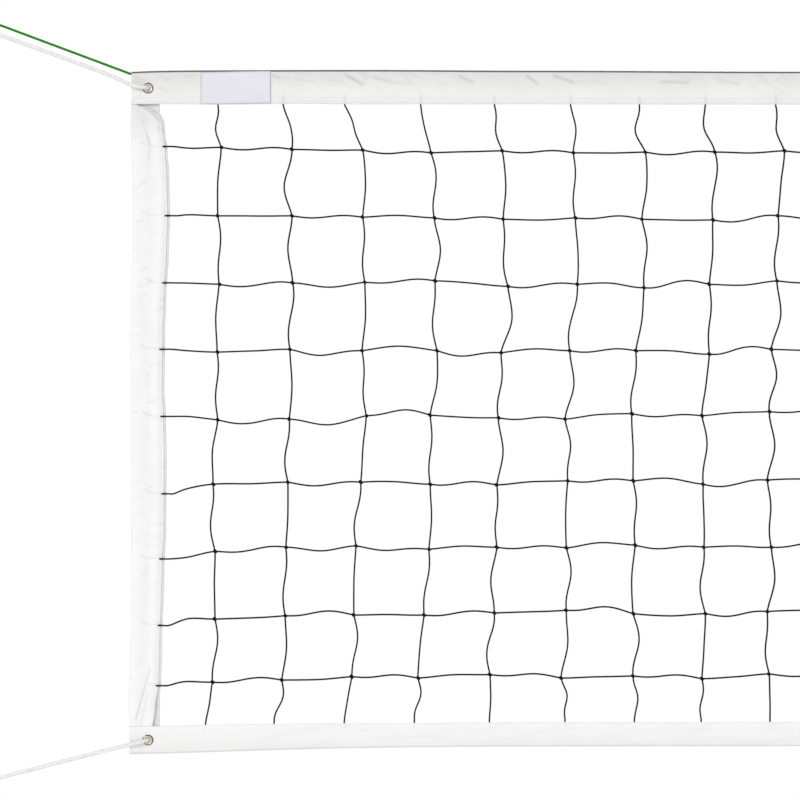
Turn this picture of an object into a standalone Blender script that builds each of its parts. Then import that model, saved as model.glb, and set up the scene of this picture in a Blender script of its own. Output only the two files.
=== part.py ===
"""Volleyball net, hung on its top cable: a black mesh edged with four white bands.

Metres, +Z up. +X runs along the net, its front faces -Y. The origin is the
middle of the top cable's centre line. Each end has an eye on the cable and two
tie cords through the corner eyelets.
"""

import math

import bmesh
import bpy
from mathutils import Matrix, Vector

# Whole net
NET_LENGTH = 9.5
NET_HEIGHT = 1.0
CLEARANCE = 0.0003

# Bands: one tape each, folded round an edge of the mesh
FABRIC = 0.0008
TOP_BAND_DEPTH = 0.048
BOTTOM_BAND_DEPTH = 0.042
SIDE_BAND_WIDTH = 0.048
FOLD_SEGMENTS = 10

# Mesh
STRING = 0.0022
ROWS = 9
COLUMNS = 90
FIRST_ROW_DROP = 0.1143
LAST_ROW_RISE = 0.1065
FIRST_COLUMN_IN = 0.130
EDGE_STRING_SETBACK = 0.010

# Top cable and its eyes
CABLE_DIAMETER = 0.0032
CABLE_OVERHANG = 0.002
CABLE_RISE = math.radians(20.5)
FERRULE_LENGTH = 0.014
FERRULE_WALL = 0.0012

# Eyelets and their washers
HOLE_DIAMETER = 0.0094
BARREL_WALL = 0.0008
FLANGE_DIAMETER = 0.0155
FLANGE_THICKNESS = 0.0012
WASHER_THICKNESS = 0.0008
LIP_THICKNESS = 0.0006
LIP_WIDTH = 0.0013
EYELET_STEPS = 24

# Tie cords
CORD_DIAMETER = 0.005
STOPPER_RADIUS = 0.0065
KNOT_RADIUS = 0.0062
KNOT_FORWARD = 0.0015

# Label patch on the top band, bare
LABEL_IN = 0.1014
LABEL_LENGTH = 0.1027
LABEL_THICKNESS = 0.0004

# Worked out from the sizes above
CABLE_RADIUS = CABLE_DIAMETER / 2
CORD_RADIUS = CORD_DIAMETER / 2
HALF_LENGTH = NET_LENGTH / 2
TOP_GAP = CABLE_DIAMETER + 2 * CLEARANCE
BOTTOM_GAP = STRING + 2 * CLEARANCE
SIDE_GAP = 2 * STRING + 3 * CLEARANCE
TOP_EDGE = TOP_GAP / 2 + FABRIC
BOTTOM_EDGE = TOP_EDGE - NET_HEIGHT
ROW_DEPTH = STRING + CLEARANCE
EYELET_IN = SIDE_BAND_WIDTH / 2
EDGE_STRING_IN = SIDE_BAND_WIDTH - EDGE_STRING_SETBACK

# The route of the left cable end, from the joint at the hem's mouth: along the
# pull, and up across it. It runs out to the ferrule, round the eye and back above.
# The eye lies beyond the tie cord's loop, which the net carries past it as it swings.
FERRULE_AT = 0.289
CABLE_PULL = [(0.050, 0), (0.100, 0), (0.150, 0), (0.200, 0), (0.250, 0), (0.303, 0)]
EYE = [
    (0.3065, -0.0003),
    (0.3115, -0.0027),
    (0.3185, -0.0062),
    (0.3256, -0.0097),
    (0.3310, -0.0109),
    (0.3374, -0.0092),
    (0.3421, -0.0045),
    (0.3438, 0.0019),
    (0.3421, 0.0083),
    (0.3374, 0.0130),
    (0.3310, 0.0147),
    (0.3256, 0.0135),
    (0.3185, 0.0100),
    (0.3115, 0.0065),
    (0.3065, 0.0041),
]
EYE_RETURN = [(0.303, 0.0038), (0.296, 0.0038), (0.289, 0.0038), (0.285, 0.0038)]

# The route of a tie cord, from its eyelet's axis: out and forward of the flange's
# face where it comes out of the barrel over the rim, then out and up to its knot.
OVER_THE_RIM = [
    (0.0000, -0.0056),
    (0.0003, -0.0030),
    (0.0018, 0.0001),
    (0.0043, 0.0026),
    (0.0074, 0.0041),
    (0.0108, 0.0044),
]
PULL_FORWARD = 0.0044
TOP_START = 0.08
TOP_PULL = [(0.0180, 0.0022), (0.0268, 0.0051), (0.0327, 0.0078), (0.0708, 0.0242), (0.2174, 0.0777)]
TOP_KNOT = (0.2450, 0.0878)
BOTTOM_START = -0.21
BOTTOM_PULL = [(0.0180, -0.0040), (0.0271, -0.0063), (0.0696, -0.0166), (0.2162, -0.0542)]
BOTTOM_KNOT = (0.2450, -0.0616)
# The loop beyond the knot, along its own line and across it, between its two legs.
# Its line drops below the pull, clear of the cable's end above.
LOOP_DROP = math.radians(12)
LOOP = [
    (0.0130, 0.0045),
    (0.0210, 0.0085),
    (0.0300, 0.0120),
    (0.0390, 0.0132),
    (0.0475, 0.0115),
    (0.0540, 0.0068),
    (0.0565, 0.0000),
    (0.0540, -0.0068),
    (0.0475, -0.0115),
    (0.0390, -0.0132),
    (0.0300, -0.0120),
    (0.0210, -0.0085),
    (0.0130, -0.0045),
]

SIDES = {"left": -1, "right": 1}


def clear_scene():
    for obj in list(bpy.data.objects):
        bpy.data.objects.remove(obj, do_unlink=True)


def new_collection(name):
    collection = bpy.data.collections.new(name)
    bpy.context.scene.collection.children.link(collection)
    return collection


def make_material(name, colour, roughness, metallic=0.0):
    material = bpy.data.materials.new(name)
    material.use_nodes = True
    shader = material.node_tree.nodes["Principled BSDF"]
    shader.inputs["Base Color"].default_value = (*colour, 1.0)
    shader.inputs["Roughness"].default_value = roughness
    shader.inputs["Metallic"].default_value = metallic
    return material


def add_object(name, data, material):
    obj = bpy.data.objects.new(name, data)
    parts.objects.link(obj)
    data.materials.append(material)
    return obj


def smooth_route(points, step):
    """Points at even steps along a Catmull-Rom curve through the route's own points."""
    knots = [Vector(point) for point in points]
    ends = [2 * knots[0] - knots[1]] + knots + [2 * knots[-1] - knots[-2]]
    fine = []
    for before, start, end, after in zip(ends, ends[1:], ends[2:], ends[3:]):
        for i in range(24):
            t = i / 24
            fine.append(
                0.5
                * (
                    2 * start
                    + (end - before) * t
                    + (2 * before - 5 * start + 4 * end - after) * t**2
                    + (3 * start - before - 3 * end + after) * t**3
                )
            )
    fine.append(knots[-1])
    lengths = [0.0]
    for a, b in zip(fine, fine[1:]):
        lengths.append(lengths[-1] + (b - a).length)
    count = max(2, round(lengths[-1] / step))
    route, at = [], 0
    for i in range(count + 1):
        target = lengths[-1] * i / count
        while at < len(fine) - 2 and lengths[at + 1] < target:
            at += 1
        span = lengths[at + 1] - lengths[at]
        route.append(fine[at].lerp(fine[at + 1], (target - lengths[at]) / span))
    return route


def make_tube(name, route, radius, material, resolution=2):
    curve = bpy.data.curves.new(name, "CURVE")
    curve.dimensions = "3D"
    curve.bevel_depth = radius
    curve.bevel_resolution = resolution
    curve.use_fill_caps = True
    spline = curve.splines.new("POLY")
    spline.points.add(len(route) - 1)
    for point, place in zip(spline.points, route):
        point.co = (*place, 1.0)
    return add_object(name, curve, material)


def make_flat(name, outlines, thickness, material):
    """A plate in local XY from closed outlines; the inner ones are its holes."""
    curve = bpy.data.curves.new(name, "CURVE")
    curve.dimensions = "2D"
    curve.fill_mode = "BOTH"
    curve.extrude = thickness / 2
    for outline in outlines:
        spline = curve.splines.new("POLY")
        spline.points.add(len(outline) - 1)
        for point, (x, y) in zip(spline.points, outline):
            point.co = (x, y, 0.0, 1.0)
        spline.use_cyclic_u = True
    return add_object(name, curve, material)


def rectangle(left, right, low, high):
    return [(left, low), (right, low), (right, high), (left, high)]


def make_turned(name, profile, steps, material, closed=False):
    """A profile of (radius, height) turned about local Z."""
    mesh = bpy.data.meshes.new(name)
    bm = bmesh.new()
    corners = [bm.verts.new((radius, 0.0, height)) for radius, height in profile]
    for a, b in zip(corners, corners[1:] + (corners[:1] if closed else [])):
        bm.edges.new((a, b))
    bm.to_mesh(mesh)
    bm.free()
    obj = add_object(name, mesh, material)
    screw = obj.modifiers.new("Turn", "SCREW")
    screw.steps = screw.render_steps = steps
    screw.use_merge_vertices = True
    screw.merge_threshold = 0.00001
    screw.use_smooth_shade = True
    return obj


def make_folded_tape(name, length, depth, gap, material):
    """A tape folded along local X: its fold is at z = 0 and its two plies hang down."""
    bend = gap / 2 + FABRIC / 2
    centre = -(gap / 2 + FABRIC)
    profile = [(-bend, -depth)]
    for i in range(FOLD_SEGMENTS + 1):
        angle = math.pi * (1 - i / FOLD_SEGMENTS)
        profile.append((bend * math.cos(angle), centre + bend * math.sin(angle)))
    profile.append((bend, -depth))
    mesh = bpy.data.meshes.new(name)
    bm = bmesh.new()
    corners = [bm.verts.new((-length / 2, y, z)) for y, z in profile]
    edges = [bm.edges.new(pair) for pair in zip(corners, corners[1:])]
    swept = bmesh.ops.extrude_edge_only(bm, edges=edges)["geom"]
    moved = [item for item in swept if isinstance(item, bmesh.types.BMVert)]
    bmesh.ops.translate(bm, verts=moved, vec=(length, 0.0, 0.0))
    bmesh.ops.recalc_face_normals(bm, faces=bm.faces)
    bm.to_mesh(mesh)
    bm.free()
    tape = add_object(name, mesh, material)
    wall = tape.modifiers.new("Fabric", "SOLIDIFY")
    wall.thickness = FABRIC
    wall.offset = 0.0
    wall.use_even_offset = True
    return tape


def cut_hole(tape, place, radius):
    """A round hole through both plies of a tape, along Y."""
    mesh = bpy.data.meshes.new("hole_cutter")
    bm = bmesh.new()
    bmesh.ops.create_cone(
        bm, cap_ends=True, segments=EYELET_STEPS, radius1=radius, radius2=radius, depth=0.04
    )
    bm.to_mesh(mesh)
    bm.free()
    cutter = bpy.data.objects.new("hole_cutter", mesh)
    cutters.objects.link(cutter)
    cutter.rotation_euler = (math.pi / 2, 0.0, 0.0)
    cutter.location = place
    cutter.hide_render = True
    cutter.display_type = "WIRE"
    cut = tape.modifiers.new("Eyelet hole", "BOOLEAN")
    cut.operation = "DIFFERENCE"
    cut.object = cutter


def make_bands(white):
    """The four bands: top and bottom run the whole length, the sides fit between them."""
    top = make_folded_tape("top_band", NET_LENGTH, TOP_BAND_DEPTH, TOP_GAP, white)
    top.location.z = TOP_EDGE
    bottom = make_folded_tape("bottom_band", NET_LENGTH, BOTTOM_BAND_DEPTH, BOTTOM_GAP, white)
    bottom.location.z = BOTTOM_EDGE
    bottom.rotation_euler.x = math.pi
    high = TOP_EDGE - TOP_BAND_DEPTH - CLEARANCE
    low = BOTTOM_EDGE + BOTTOM_BAND_DEPTH + CLEARANCE
    for word, side in SIDES.items():
        band = make_folded_tape(
            f"side_band_{word}", high - low, SIDE_BAND_WIDTH, SIDE_GAP, white
        )
        band.rotation_euler.y = side * math.pi / 2
        band.location = (side * HALF_LENGTH, ROW_DEPTH / 2, (high + low) / 2)
    return top, bottom


def make_mesh(twine):
    """Uprights joined by a head and a foot line, and nine rows crossing just behind them."""
    head = -(TOP_GAP / 2)
    foot = BOTTOM_EDGE + FABRIC + BOTTOM_GAP / 2
    edge = HALF_LENGTH - EDGE_STRING_IN
    first = HALF_LENGTH - FIRST_COLUMN_IN
    columns = [-first + 2 * first * i / (COLUMNS - 1) for i in range(COLUMNS)]
    uprights = [-edge, *columns, edge]
    half = STRING / 2
    outlines = [rectangle(-edge - half, edge + half, foot, head)]
    for a, b in zip(uprights, uprights[1:]):
        outlines.append(rectangle(a + half, b - half, foot + STRING, head - STRING))
    net = make_flat("net_uprights", outlines, STRING, twine)
    net.rotation_euler.x = math.pi / 2
    first_row = TOP_EDGE - FIRST_ROW_DROP
    pitch = (NET_HEIGHT - FIRST_ROW_DROP - LAST_ROW_RISE) / (ROWS - 1)
    for row in range(ROWS):
        height = first_row - row * pitch
        ends = [(-edge - half, ROW_DEPTH, height), (edge + half, ROW_DEPTH, height)]
        make_tube(f"net_row_{row + 1}", ends, half, twine)


def make_label(patch):
    """A bare patch sewn on the front of the top band."""
    top = TOP_EDGE - TOP_GAP / 2 - FABRIC - CLEARANCE
    low = TOP_EDGE - TOP_BAND_DEPTH
    mesh = bpy.data.meshes.new("label_patch")
    bm = bmesh.new()
    bmesh.ops.create_cube(bm, size=1.0)
    size = Matrix.Diagonal((LABEL_LENGTH, LABEL_THICKNESS, top - low, 1.0))
    bmesh.ops.transform(bm, matrix=size, verts=bm.verts)
    bm.to_mesh(mesh)
    bm.free()
    label = add_object("label_patch", mesh, patch)
    label.location = (
        -HALF_LENGTH + LABEL_IN + LABEL_LENGTH / 2,
        -(TOP_GAP / 2 + FABRIC + CLEARANCE + LABEL_THICKNESS / 2),
        (top + low) / 2,
    )


def make_top_cable(steel):
    """The cable's run inside the top band's fold, with the rounded ends it turns on."""
    half = HALF_LENGTH + CABLE_OVERHANG
    profile = []
    for i in range(5):
        angle = math.pi / 2 * (1 - i / 4)
        profile.append((CABLE_RADIUS * math.cos(angle), half + CABLE_RADIUS * math.sin(angle)))
    profile += [(radius, -height) for radius, height in reversed(profile)]
    profile[0] = (0.0, half + CABLE_RADIUS)
    profile[-1] = (0.0, -half - CABLE_RADIUS)
    cable = make_turned("top_cable", profile, 12, steel)
    cable.rotation_euler.y = math.pi / 2


def make_cable_end(word, side, steel, aluminium):
    """The free end beyond the hem: a taut run, then an eye closed by a ferrule."""
    joint = Vector((side * (HALF_LENGTH + CABLE_OVERHANG), 0.0, 0.0))
    along = Vector((side * math.cos(CABLE_RISE), 0.0, math.sin(CABLE_RISE)))
    across = Vector((-side * math.sin(CABLE_RISE), 0.0, math.cos(CABLE_RISE)))
    start = (CABLE_RADIUS + CLEARANCE, 0)
    plan = smooth_route([(*p, 0.0) for p in [start, *CABLE_PULL, *EYE, *EYE_RETURN]], 0.006)
    route = [joint + along * p.x + across * p.y for p in plan]
    make_tube(f"cable_end_{word}", route, CABLE_RADIUS, steel)

    apart = EYE_RETURN[0][1] - CABLE_PULL[-1][1]
    outlines = []
    for radius in (CABLE_RADIUS + CLEARANCE + FERRULE_WALL, CABLE_RADIUS + CLEARANCE):
        outline = []
        for i in range(16):
            angle = 2 * math.pi * i / 16
            shift = apart / 2 if math.cos(angle + 0.01) > 0 else -apart / 2
            outline.append((shift + radius * math.cos(angle), radius * math.sin(angle)))
        outlines.append(outline)
    ferrule = make_flat(f"ferrule_{word}", outlines, FERRULE_LENGTH, aluminium)
    turn = Matrix((across, Vector((0.0, 1.0, 0.0)), across.cross(Vector((0.0, 1.0, 0.0)))))
    middle = joint + along * (FERRULE_AT + FERRULE_LENGTH / 2) + across * apart / 2
    ferrule.matrix_world = Matrix.Translation(middle) @ turn.transposed().to_4x4()


def eyelet_profile(grip):
    """Flange, barrel and rolled back lip, from the flange's crest at height 0."""
    bore = HOLE_DIAMETER / 2
    wall = bore + BARREL_WALL
    rim = FLANGE_DIAMETER / 2
    crest = bore + FLANGE_THICKNESS
    back = -FLANGE_THICKNESS - grip
    return [
        (crest, 0.0),
        (rim - 0.0009, -0.0001),
        (rim - 0.0003, -FLANGE_THICKNESS * 0.4),
        (rim, -FLANGE_THICKNESS),
        (wall, -FLANGE_THICKNESS),
        (wall, back + LIP_THICKNESS),
        (wall + LIP_WIDTH, back + LIP_THICKNESS),
        (wall + LIP_WIDTH, back),
        (bore + BARREL_WALL / 2, back),
        (bore, back + BARREL_WALL / 2),
        (bore, -FLANGE_THICKNESS),
        (bore + FLANGE_THICKNESS * 0.13, -FLANGE_THICKNESS * 0.5),
        (bore + FLANGE_THICKNESS * 0.5, -FLANGE_THICKNESS * 0.13),
    ]


def make_corner(level, word, side, nickel, rope):
    """An eyelet through both plies, its washer behind, and the tie cord knotted through it."""
    if level == "top":
        height = TOP_EDGE - TOP_BAND_DEPTH / 2
        face = TOP_GAP / 2 + FABRIC
        slope, pull, knot_at = TOP_START, TOP_PULL, TOP_KNOT
    else:
        height = BOTTOM_EDGE + BOTTOM_BAND_DEPTH / 2
        face = BOTTOM_GAP / 2 + FABRIC
        slope, pull, knot_at = BOTTOM_START, BOTTOM_PULL, BOTTOM_KNOT
    x = side * (HALF_LENGTH - EYELET_IN)
    behind = face + CLEARANCE + WASHER_THICKNESS + CLEARANCE + LIP_THICKNESS
    front = -(face + CLEARANCE + FLANGE_THICKNESS)
    wall = HOLE_DIAMETER / 2 + BARREL_WALL
    where = f"{level}_{word}"

    grip = face + CLEARANCE + behind
    eyelet = make_turned(f"eyelet_{where}", eyelet_profile(grip), EYELET_STEPS, nickel, True)
    eyelet.rotation_euler.x = math.pi / 2
    eyelet.location = (x, front, height)
    washer_profile = [
        (FLANGE_DIAMETER / 2, WASHER_THICKNESS),
        (FLANGE_DIAMETER / 2, 0.0),
        (wall + CLEARANCE, 0.0),
        (wall + CLEARANCE, WASHER_THICKNESS),
    ]
    washer = make_turned(f"washer_{where}", washer_profile, EYELET_STEPS, nickel, True)
    washer.rotation_euler.x = math.pi / 2
    washer.location = (x, face + CLEARANCE + WASHER_THICKNESS, height)

    def place(out, up, forward):
        return Vector((x + side * out, front - forward, height + up))

    nest = math.sqrt(STOPPER_RADIUS**2 - (HOLE_DIAMETER / 2) ** 2)
    stopper_y = behind + CLEARANCE + nest
    make_lump(f"tie_stopper_{where}", (x, stopper_y, height), STOPPER_RADIUS, rope)

    heading = Vector((knot_at[0] - pull[-1][0], knot_at[1] - pull[-1][1])).normalized()
    stop = KNOT_RADIUS + CLEARANCE
    end = (knot_at[0] - heading.x * stop, knot_at[1] - heading.y * stop)
    bend = [place(out, slope * out, forward) for out, forward in OVER_THE_RIM]
    taut = [place(out, up, PULL_FORWARD) for out, up in [*pull, end]]
    mouth = Vector((x, stopper_y - STOPPER_RADIUS - CLEARANCE, height))
    bend = smooth_route([mouth, *bend], 0.0025)
    taut = smooth_route([bend[-1], *taut], 0.010)
    make_tube(f"tie_cord_{where}", bend + taut[1:], CORD_RADIUS, rope)
    knot_place = place(*knot_at, PULL_FORWARD + KNOT_FORWARD)
    make_lump(f"tie_knot_{where}", knot_place, KNOT_RADIUS, rope)
    leg = CORD_RADIUS + CLEARANCE
    heading.rotate(Matrix.Rotation(-LOOP_DROP, 2))
    loop = [
        place(
            knot_at[0] + heading.x * along - heading.y * across,
            knot_at[1] + heading.y * along + heading.x * across,
            PULL_FORWARD,
        )
        for along, across in [(stop, leg), *LOOP, (stop, -leg)]
    ]
    loop = smooth_route(loop, 0.006)
    make_tube(f"tie_loop_{where}", loop, CORD_RADIUS, rope, resolution=1)
    return x, height, wall + CLEARANCE


def make_lump(name, place, radius, material):
    """The closed outer shape of a tied knot."""
    mesh = bpy.data.meshes.new(name)
    bm = bmesh.new()
    bmesh.ops.create_uvsphere(bm, u_segments=12, v_segments=8, radius=radius)
    bm.to_mesh(mesh)
    bm.free()
    mesh.shade_smooth()
    lump = add_object(name, mesh, material)
    lump.location = place
    lump.rotation_euler.x = math.pi / 2


clear_scene()
parts = new_collection("Volleyball net")
cutters = new_collection("Cutters")

band_white = make_material("Band fabric", (0.86, 0.86, 0.85), 0.6)
twine_black = make_material("Mesh twine", (0.02, 0.02, 0.02), 0.7)
cable_green = make_material("Cable coating", (0.08, 0.30, 0.05), 0.35)
nickel_plate = make_material("Nickel plate", (0.78, 0.74, 0.66), 0.25, 1.0)
aluminium_grey = make_material("Ferrule aluminium", (0.80, 0.80, 0.80), 0.35, 1.0)
rope_white = make_material("Tie cord", (0.90, 0.90, 0.88), 0.7)
label_lilac = make_material("Label patch", (0.80, 0.77, 0.87), 0.5)

top_band, bottom_band = make_bands(band_white)
make_mesh(twine_black)
make_label(label_lilac)
make_top_cable(cable_green)
for side_word, side_sign in SIDES.items():
    make_cable_end(side_word, side_sign, cable_green, aluminium_grey)
    for band, level_word in ((top_band, "top"), (bottom_band, "bottom")):
        hole_x, hole_z, hole_r = make_corner(
            level_word, side_word, side_sign, nickel_plate, rope_white
        )
        cut_hole(band, (hole_x, 0.0, hole_z), hole_r)
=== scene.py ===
import math
import random

import bmesh
import bpy
from mathutils import Matrix, Vector, noise


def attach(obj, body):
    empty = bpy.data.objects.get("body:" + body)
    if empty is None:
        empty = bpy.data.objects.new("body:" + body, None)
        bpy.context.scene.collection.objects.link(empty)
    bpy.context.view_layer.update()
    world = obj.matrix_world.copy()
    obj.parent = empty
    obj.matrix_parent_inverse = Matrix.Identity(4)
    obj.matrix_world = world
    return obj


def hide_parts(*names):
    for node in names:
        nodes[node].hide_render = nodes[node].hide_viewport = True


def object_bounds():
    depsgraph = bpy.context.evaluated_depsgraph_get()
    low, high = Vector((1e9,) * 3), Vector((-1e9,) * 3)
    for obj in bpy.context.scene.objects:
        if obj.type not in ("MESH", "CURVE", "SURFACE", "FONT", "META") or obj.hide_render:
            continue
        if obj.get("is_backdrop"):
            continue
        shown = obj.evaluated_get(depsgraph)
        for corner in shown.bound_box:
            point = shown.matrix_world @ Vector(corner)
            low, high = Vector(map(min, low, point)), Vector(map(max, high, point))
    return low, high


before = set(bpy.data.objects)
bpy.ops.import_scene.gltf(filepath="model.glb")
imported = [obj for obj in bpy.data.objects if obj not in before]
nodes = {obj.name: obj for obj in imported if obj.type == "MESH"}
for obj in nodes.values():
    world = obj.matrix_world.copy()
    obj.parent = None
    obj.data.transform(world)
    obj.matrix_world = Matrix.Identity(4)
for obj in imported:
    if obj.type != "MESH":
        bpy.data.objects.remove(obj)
cad_low, cad_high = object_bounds()
SIDES = {"left": -1, "right": 1}


# ---------------------------------------------------------------- the picture
# The net's left end, seen square on from 4 m away, on plain white.
# Four wide suns light its whole length evenly, front and back, and dark flags up on the
# right and low on the left give metal something to mirror.
CAMERA_AWAY = 4.0
PICTURE_WIDTH = 1.1728
PICTURE_MIDDLE = (-4.3568, -0.4781)
WHITE = (1.0, 1.0, 1.0)
AMBIENT = 0.615
# Where each sun shines to, how strong it is, and how many degrees wide
SUNS = {
    "key": ((0.85, 1.0, -0.50), 1.00, 18),
    "front": ((0.15, 1.0, -0.10), 0.25, 25),
    "fill": ((-0.7, 0.9, -0.15), 0.36, 60),
    "back": ((-0.35, -1.0, -0.5), 1.35, 30),
}
# The dark flags: the line that they lie along, how far they keep to the camera's side,
# how near to that line they begin and end, and how bright they are
FLAG_LINE = (0.66, 0.0, 0.75)
FLAG_BEHIND = -0.8
FLAG_EDGES = (0.60, 0.95)
FLAG_LIGHT = 0.02

scene = bpy.context.scene
scene.view_settings.view_transform = "Standard"
camera_data = bpy.data.cameras.new("camera")
camera_data.lens = camera_data.sensor_width * CAMERA_AWAY / PICTURE_WIDTH
camera_data.clip_end = 200
camera = bpy.data.objects.new("camera", camera_data)
camera.location = (PICTURE_MIDDLE[0], -CAMERA_AWAY, PICTURE_MIDDLE[1])
camera.rotation_euler = (math.pi / 2, 0.0, 0.0)
scene.collection.objects.link(camera)
scene.camera = camera

for name, (direction, strength, spread) in SUNS.items():
    sun_data = bpy.data.lights.new(name, "SUN")
    sun_data.energy = strength
    sun_data.angle = math.radians(spread)
    sun = bpy.data.objects.new(name, sun_data)
    sun.rotation_euler = Vector(direction).to_track_quat("-Z", "Y").to_euler()
    scene.collection.objects.link(sun)


def fill(node, inputs):
    """Sets or links the inputs of a shader node. A colour is given as three numbers."""
    for key, value in inputs.items():
        socket = node.inputs[key]
        if isinstance(value, bpy.types.NodeSocket):
            node.id_data.links.new(value, socket)
        elif socket.type == "RGBA":
            socket.default_value = (*value, 1.0)
        else:
            socket.default_value = value


def add_node(beside, kind, inputs=None, **settings):
    """A new node in the same tree as another one, with its settings and inputs."""
    made = beside.id_data.nodes.new("ShaderNode" + kind)
    for key, value in settings.items():
        setattr(made, key, value)
    fill(made, inputs or {})
    return made


def work_out(beside, operation, *values, **settings):
    """What a Math node makes of some numbers or sockets."""
    made = add_node(beside, "Math", dict(enumerate(values)), operation=operation, **settings)
    return made.outputs[0]


def change(beside, value, low, high, start=0.0, stop=1.0, how="SMOOTHSTEP"):
    """A number that goes from one to another as a value rises."""
    spans = {"Value": value, "From Min": low, "From Max": high, "To Min": start, "To Max": stop}
    return add_node(beside, "MapRange", spans, interpolation_type=how).outputs[0]


world = bpy.data.worlds.new("studio")
world.use_nodes = True
scene.world = world
sky = world.node_tree
sky.nodes.clear()
rays = add_node(sky, "LightPath").outputs
seen = work_out(sky, "ADD", rays["Is Camera Ray"], rays["Is Glossy Ray"])
seen = work_out(sky, "ADD", seen, rays["Is Transmission Ray"], use_clamp=True)
way = add_node(sky, "TexCoord").outputs["Generated"]
beside_line = add_node(sky, "VectorMath", {0: way, 1: FLAG_LINE}, operation="DOT_PRODUCT")
nearness = work_out(sky, "ABSOLUTE", beside_line.outputs["Value"])
depth = add_node(sky, "SeparateXYZ", {0: way}).outputs["Y"]
nearness = work_out(sky, "MULTIPLY_ADD", depth, FLAG_BEHIND, nearness)
flag = work_out(sky, "MULTIPLY", change(sky, nearness, *FLAG_EDGES), rays["Is Glossy Ray"])
brightness = change(sky, flag, 0.0, 1.0, 1.0, FLAG_LIGHT, "LINEAR")
ambient = add_node(sky, "Background", {"Color": WHITE, "Strength": AMBIENT}).outputs[0]
ground = add_node(sky, "Background", {"Color": WHITE, "Strength": brightness}).outputs[0]
mixed = add_node(sky, "MixShader", {0: seen, 1: ambient, 2: ground}).outputs[0]
add_node(sky, "OutputWorld", {"Surface": mixed})


# ------------------------------------------------------------------ the floor
# A plain pale floor, as far below the top cable as it is on a court.
# It fades into the white ground at its edges.
FLOOR_DROP = 2.43
FLOOR_SIZE = (18.0, 8.0)


def new_material(name, colour, roughness, metallic=0.0, specular=0.5):
    """A plain material, and its shader."""
    material = bpy.data.materials.new(name)
    material.use_nodes = True
    shader = material.node_tree.nodes["Principled BSDF"]
    fill(shader, {"Base Color": colour, "Roughness": roughness, "Metallic": metallic})
    fill(shader, {"Specular IOR Level": specular})
    return material, shader


def mesh_from(bm, name):
    """A smooth-shaded mesh from a finished bmesh."""
    mesh = bpy.data.meshes.new(name)
    bm.to_mesh(mesh)
    bm.free()
    mesh.shade_smooth()
    return mesh


def new_piece(name, mesh, *materials):
    piece = bpy.data.objects.new(name, mesh)
    scene.collection.objects.link(piece)
    for material in materials:
        mesh.materials.append(material)
    return piece


bm = bmesh.new()
bmesh.ops.create_grid(bm, x_segments=1, y_segments=1, size=0.5)
bmesh.ops.scale(bm, vec=(*FLOOR_SIZE, 1.0), verts=bm.verts)
bmesh.ops.translate(bm, vec=(0.0, 0.0, -FLOOR_DROP), verts=bm.verts)
floor_paint, floor_shader = new_material("Floor", (0.82, 0.82, 0.82), 0.9)
where = add_node(floor_shader, "TexCoord").outputs["Object"]
scale = (2 / FLOOR_SIZE[0], 2 / FLOOR_SIZE[1], 0.0)
place = add_node(floor_shader, "Mapping", {"Vector": where, "Scale": scale}).outputs[0]
reach = add_node(floor_shader, "VectorMath", {0: place}, operation="LENGTH").outputs["Value"]
fade = change(floor_shader, reach, 0.45, 0.95)
glow = add_node(floor_shader, "Emission", {"Color": WHITE, "Strength": 1.0}).outputs[0]
mixed = add_node(floor_shader, "MixShader", {0: fade, 1: floor_shader.outputs[0], 2: glow})
fill(floor_paint.node_tree.nodes["Material Output"], {"Surface": mixed.outputs[0]})
floor = new_piece("floor", mesh_from(bm, "floor"), floor_paint)
floor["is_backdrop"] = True


# -------------------------------------------------------------- the top cable
# A thin steel wire rope in a green plastic coat. It runs through the fold of the
# top band, and each free end is bent back into an eye that a crimped sleeve holds.
CABLE_RADIUS = 0.0016
COAT_RIDGES = 0.0002
CABLE_MOUTH = 4.752
CABLE_RISE = math.radians(20.5)
CABLE_PULL = [(0.050, 0), (0.100, 0), (0.150, 0), (0.200, 0), (0.250, 0), (0.303, 0)]
EYE = [
    (0.3065, -0.0003),
    (0.3115, -0.0027),
    (0.3185, -0.0062),
    (0.3256, -0.0097),
    (0.3310, -0.0109),
    (0.3374, -0.0092),
    (0.3421, -0.0045),
    (0.3438, 0.0019),
    (0.3421, 0.0083),
    (0.3374, 0.0130),
    (0.3310, 0.0147),
    (0.3256, 0.0135),
    (0.3185, 0.0100),
    (0.3115, 0.0065),
    (0.3065, 0.0041),
]
EYE_RETURN = [(0.303, 0.0038), (0.296, 0.0038), (0.289, 0.0038), (0.285, 0.0038)]


def smooth_route(points, step):
    """Points at even steps along a smooth curve through the route's own points."""
    knots = [Vector(point) for point in points]
    ends = [2 * knots[0] - knots[1]] + knots + [2 * knots[-1] - knots[-2]]
    fine = []
    for before, start, end, after in zip(ends, ends[1:], ends[2:], ends[3:]):
        for i in range(24):
            t = i / 24
            fine.append(
                0.5
                * (
                    2 * start
                    + (end - before) * t
                    + (2 * before - 5 * start + 4 * end - after) * t**2
                    + (3 * start - before - 3 * end + after) * t**3
                )
            )
    fine.append(knots[-1])
    lengths = [0.0]
    for a, b in zip(fine, fine[1:]):
        lengths.append(lengths[-1] + (b - a).length)
    count = max(2, round(lengths[-1] / step))
    route, at = [], 0
    for i in range(count + 1):
        target = lengths[-1] * i / count
        while at < len(fine) - 2 and lengths[at + 1] < target:
            at += 1
        span = lengths[at + 1] - lengths[at]
        route.append(fine[at].lerp(fine[at + 1], (target - lengths[at]) / span))
    return route


def route_length(route):
    return sum((b - a).length for a, b in zip(route, route[1:]))


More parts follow.
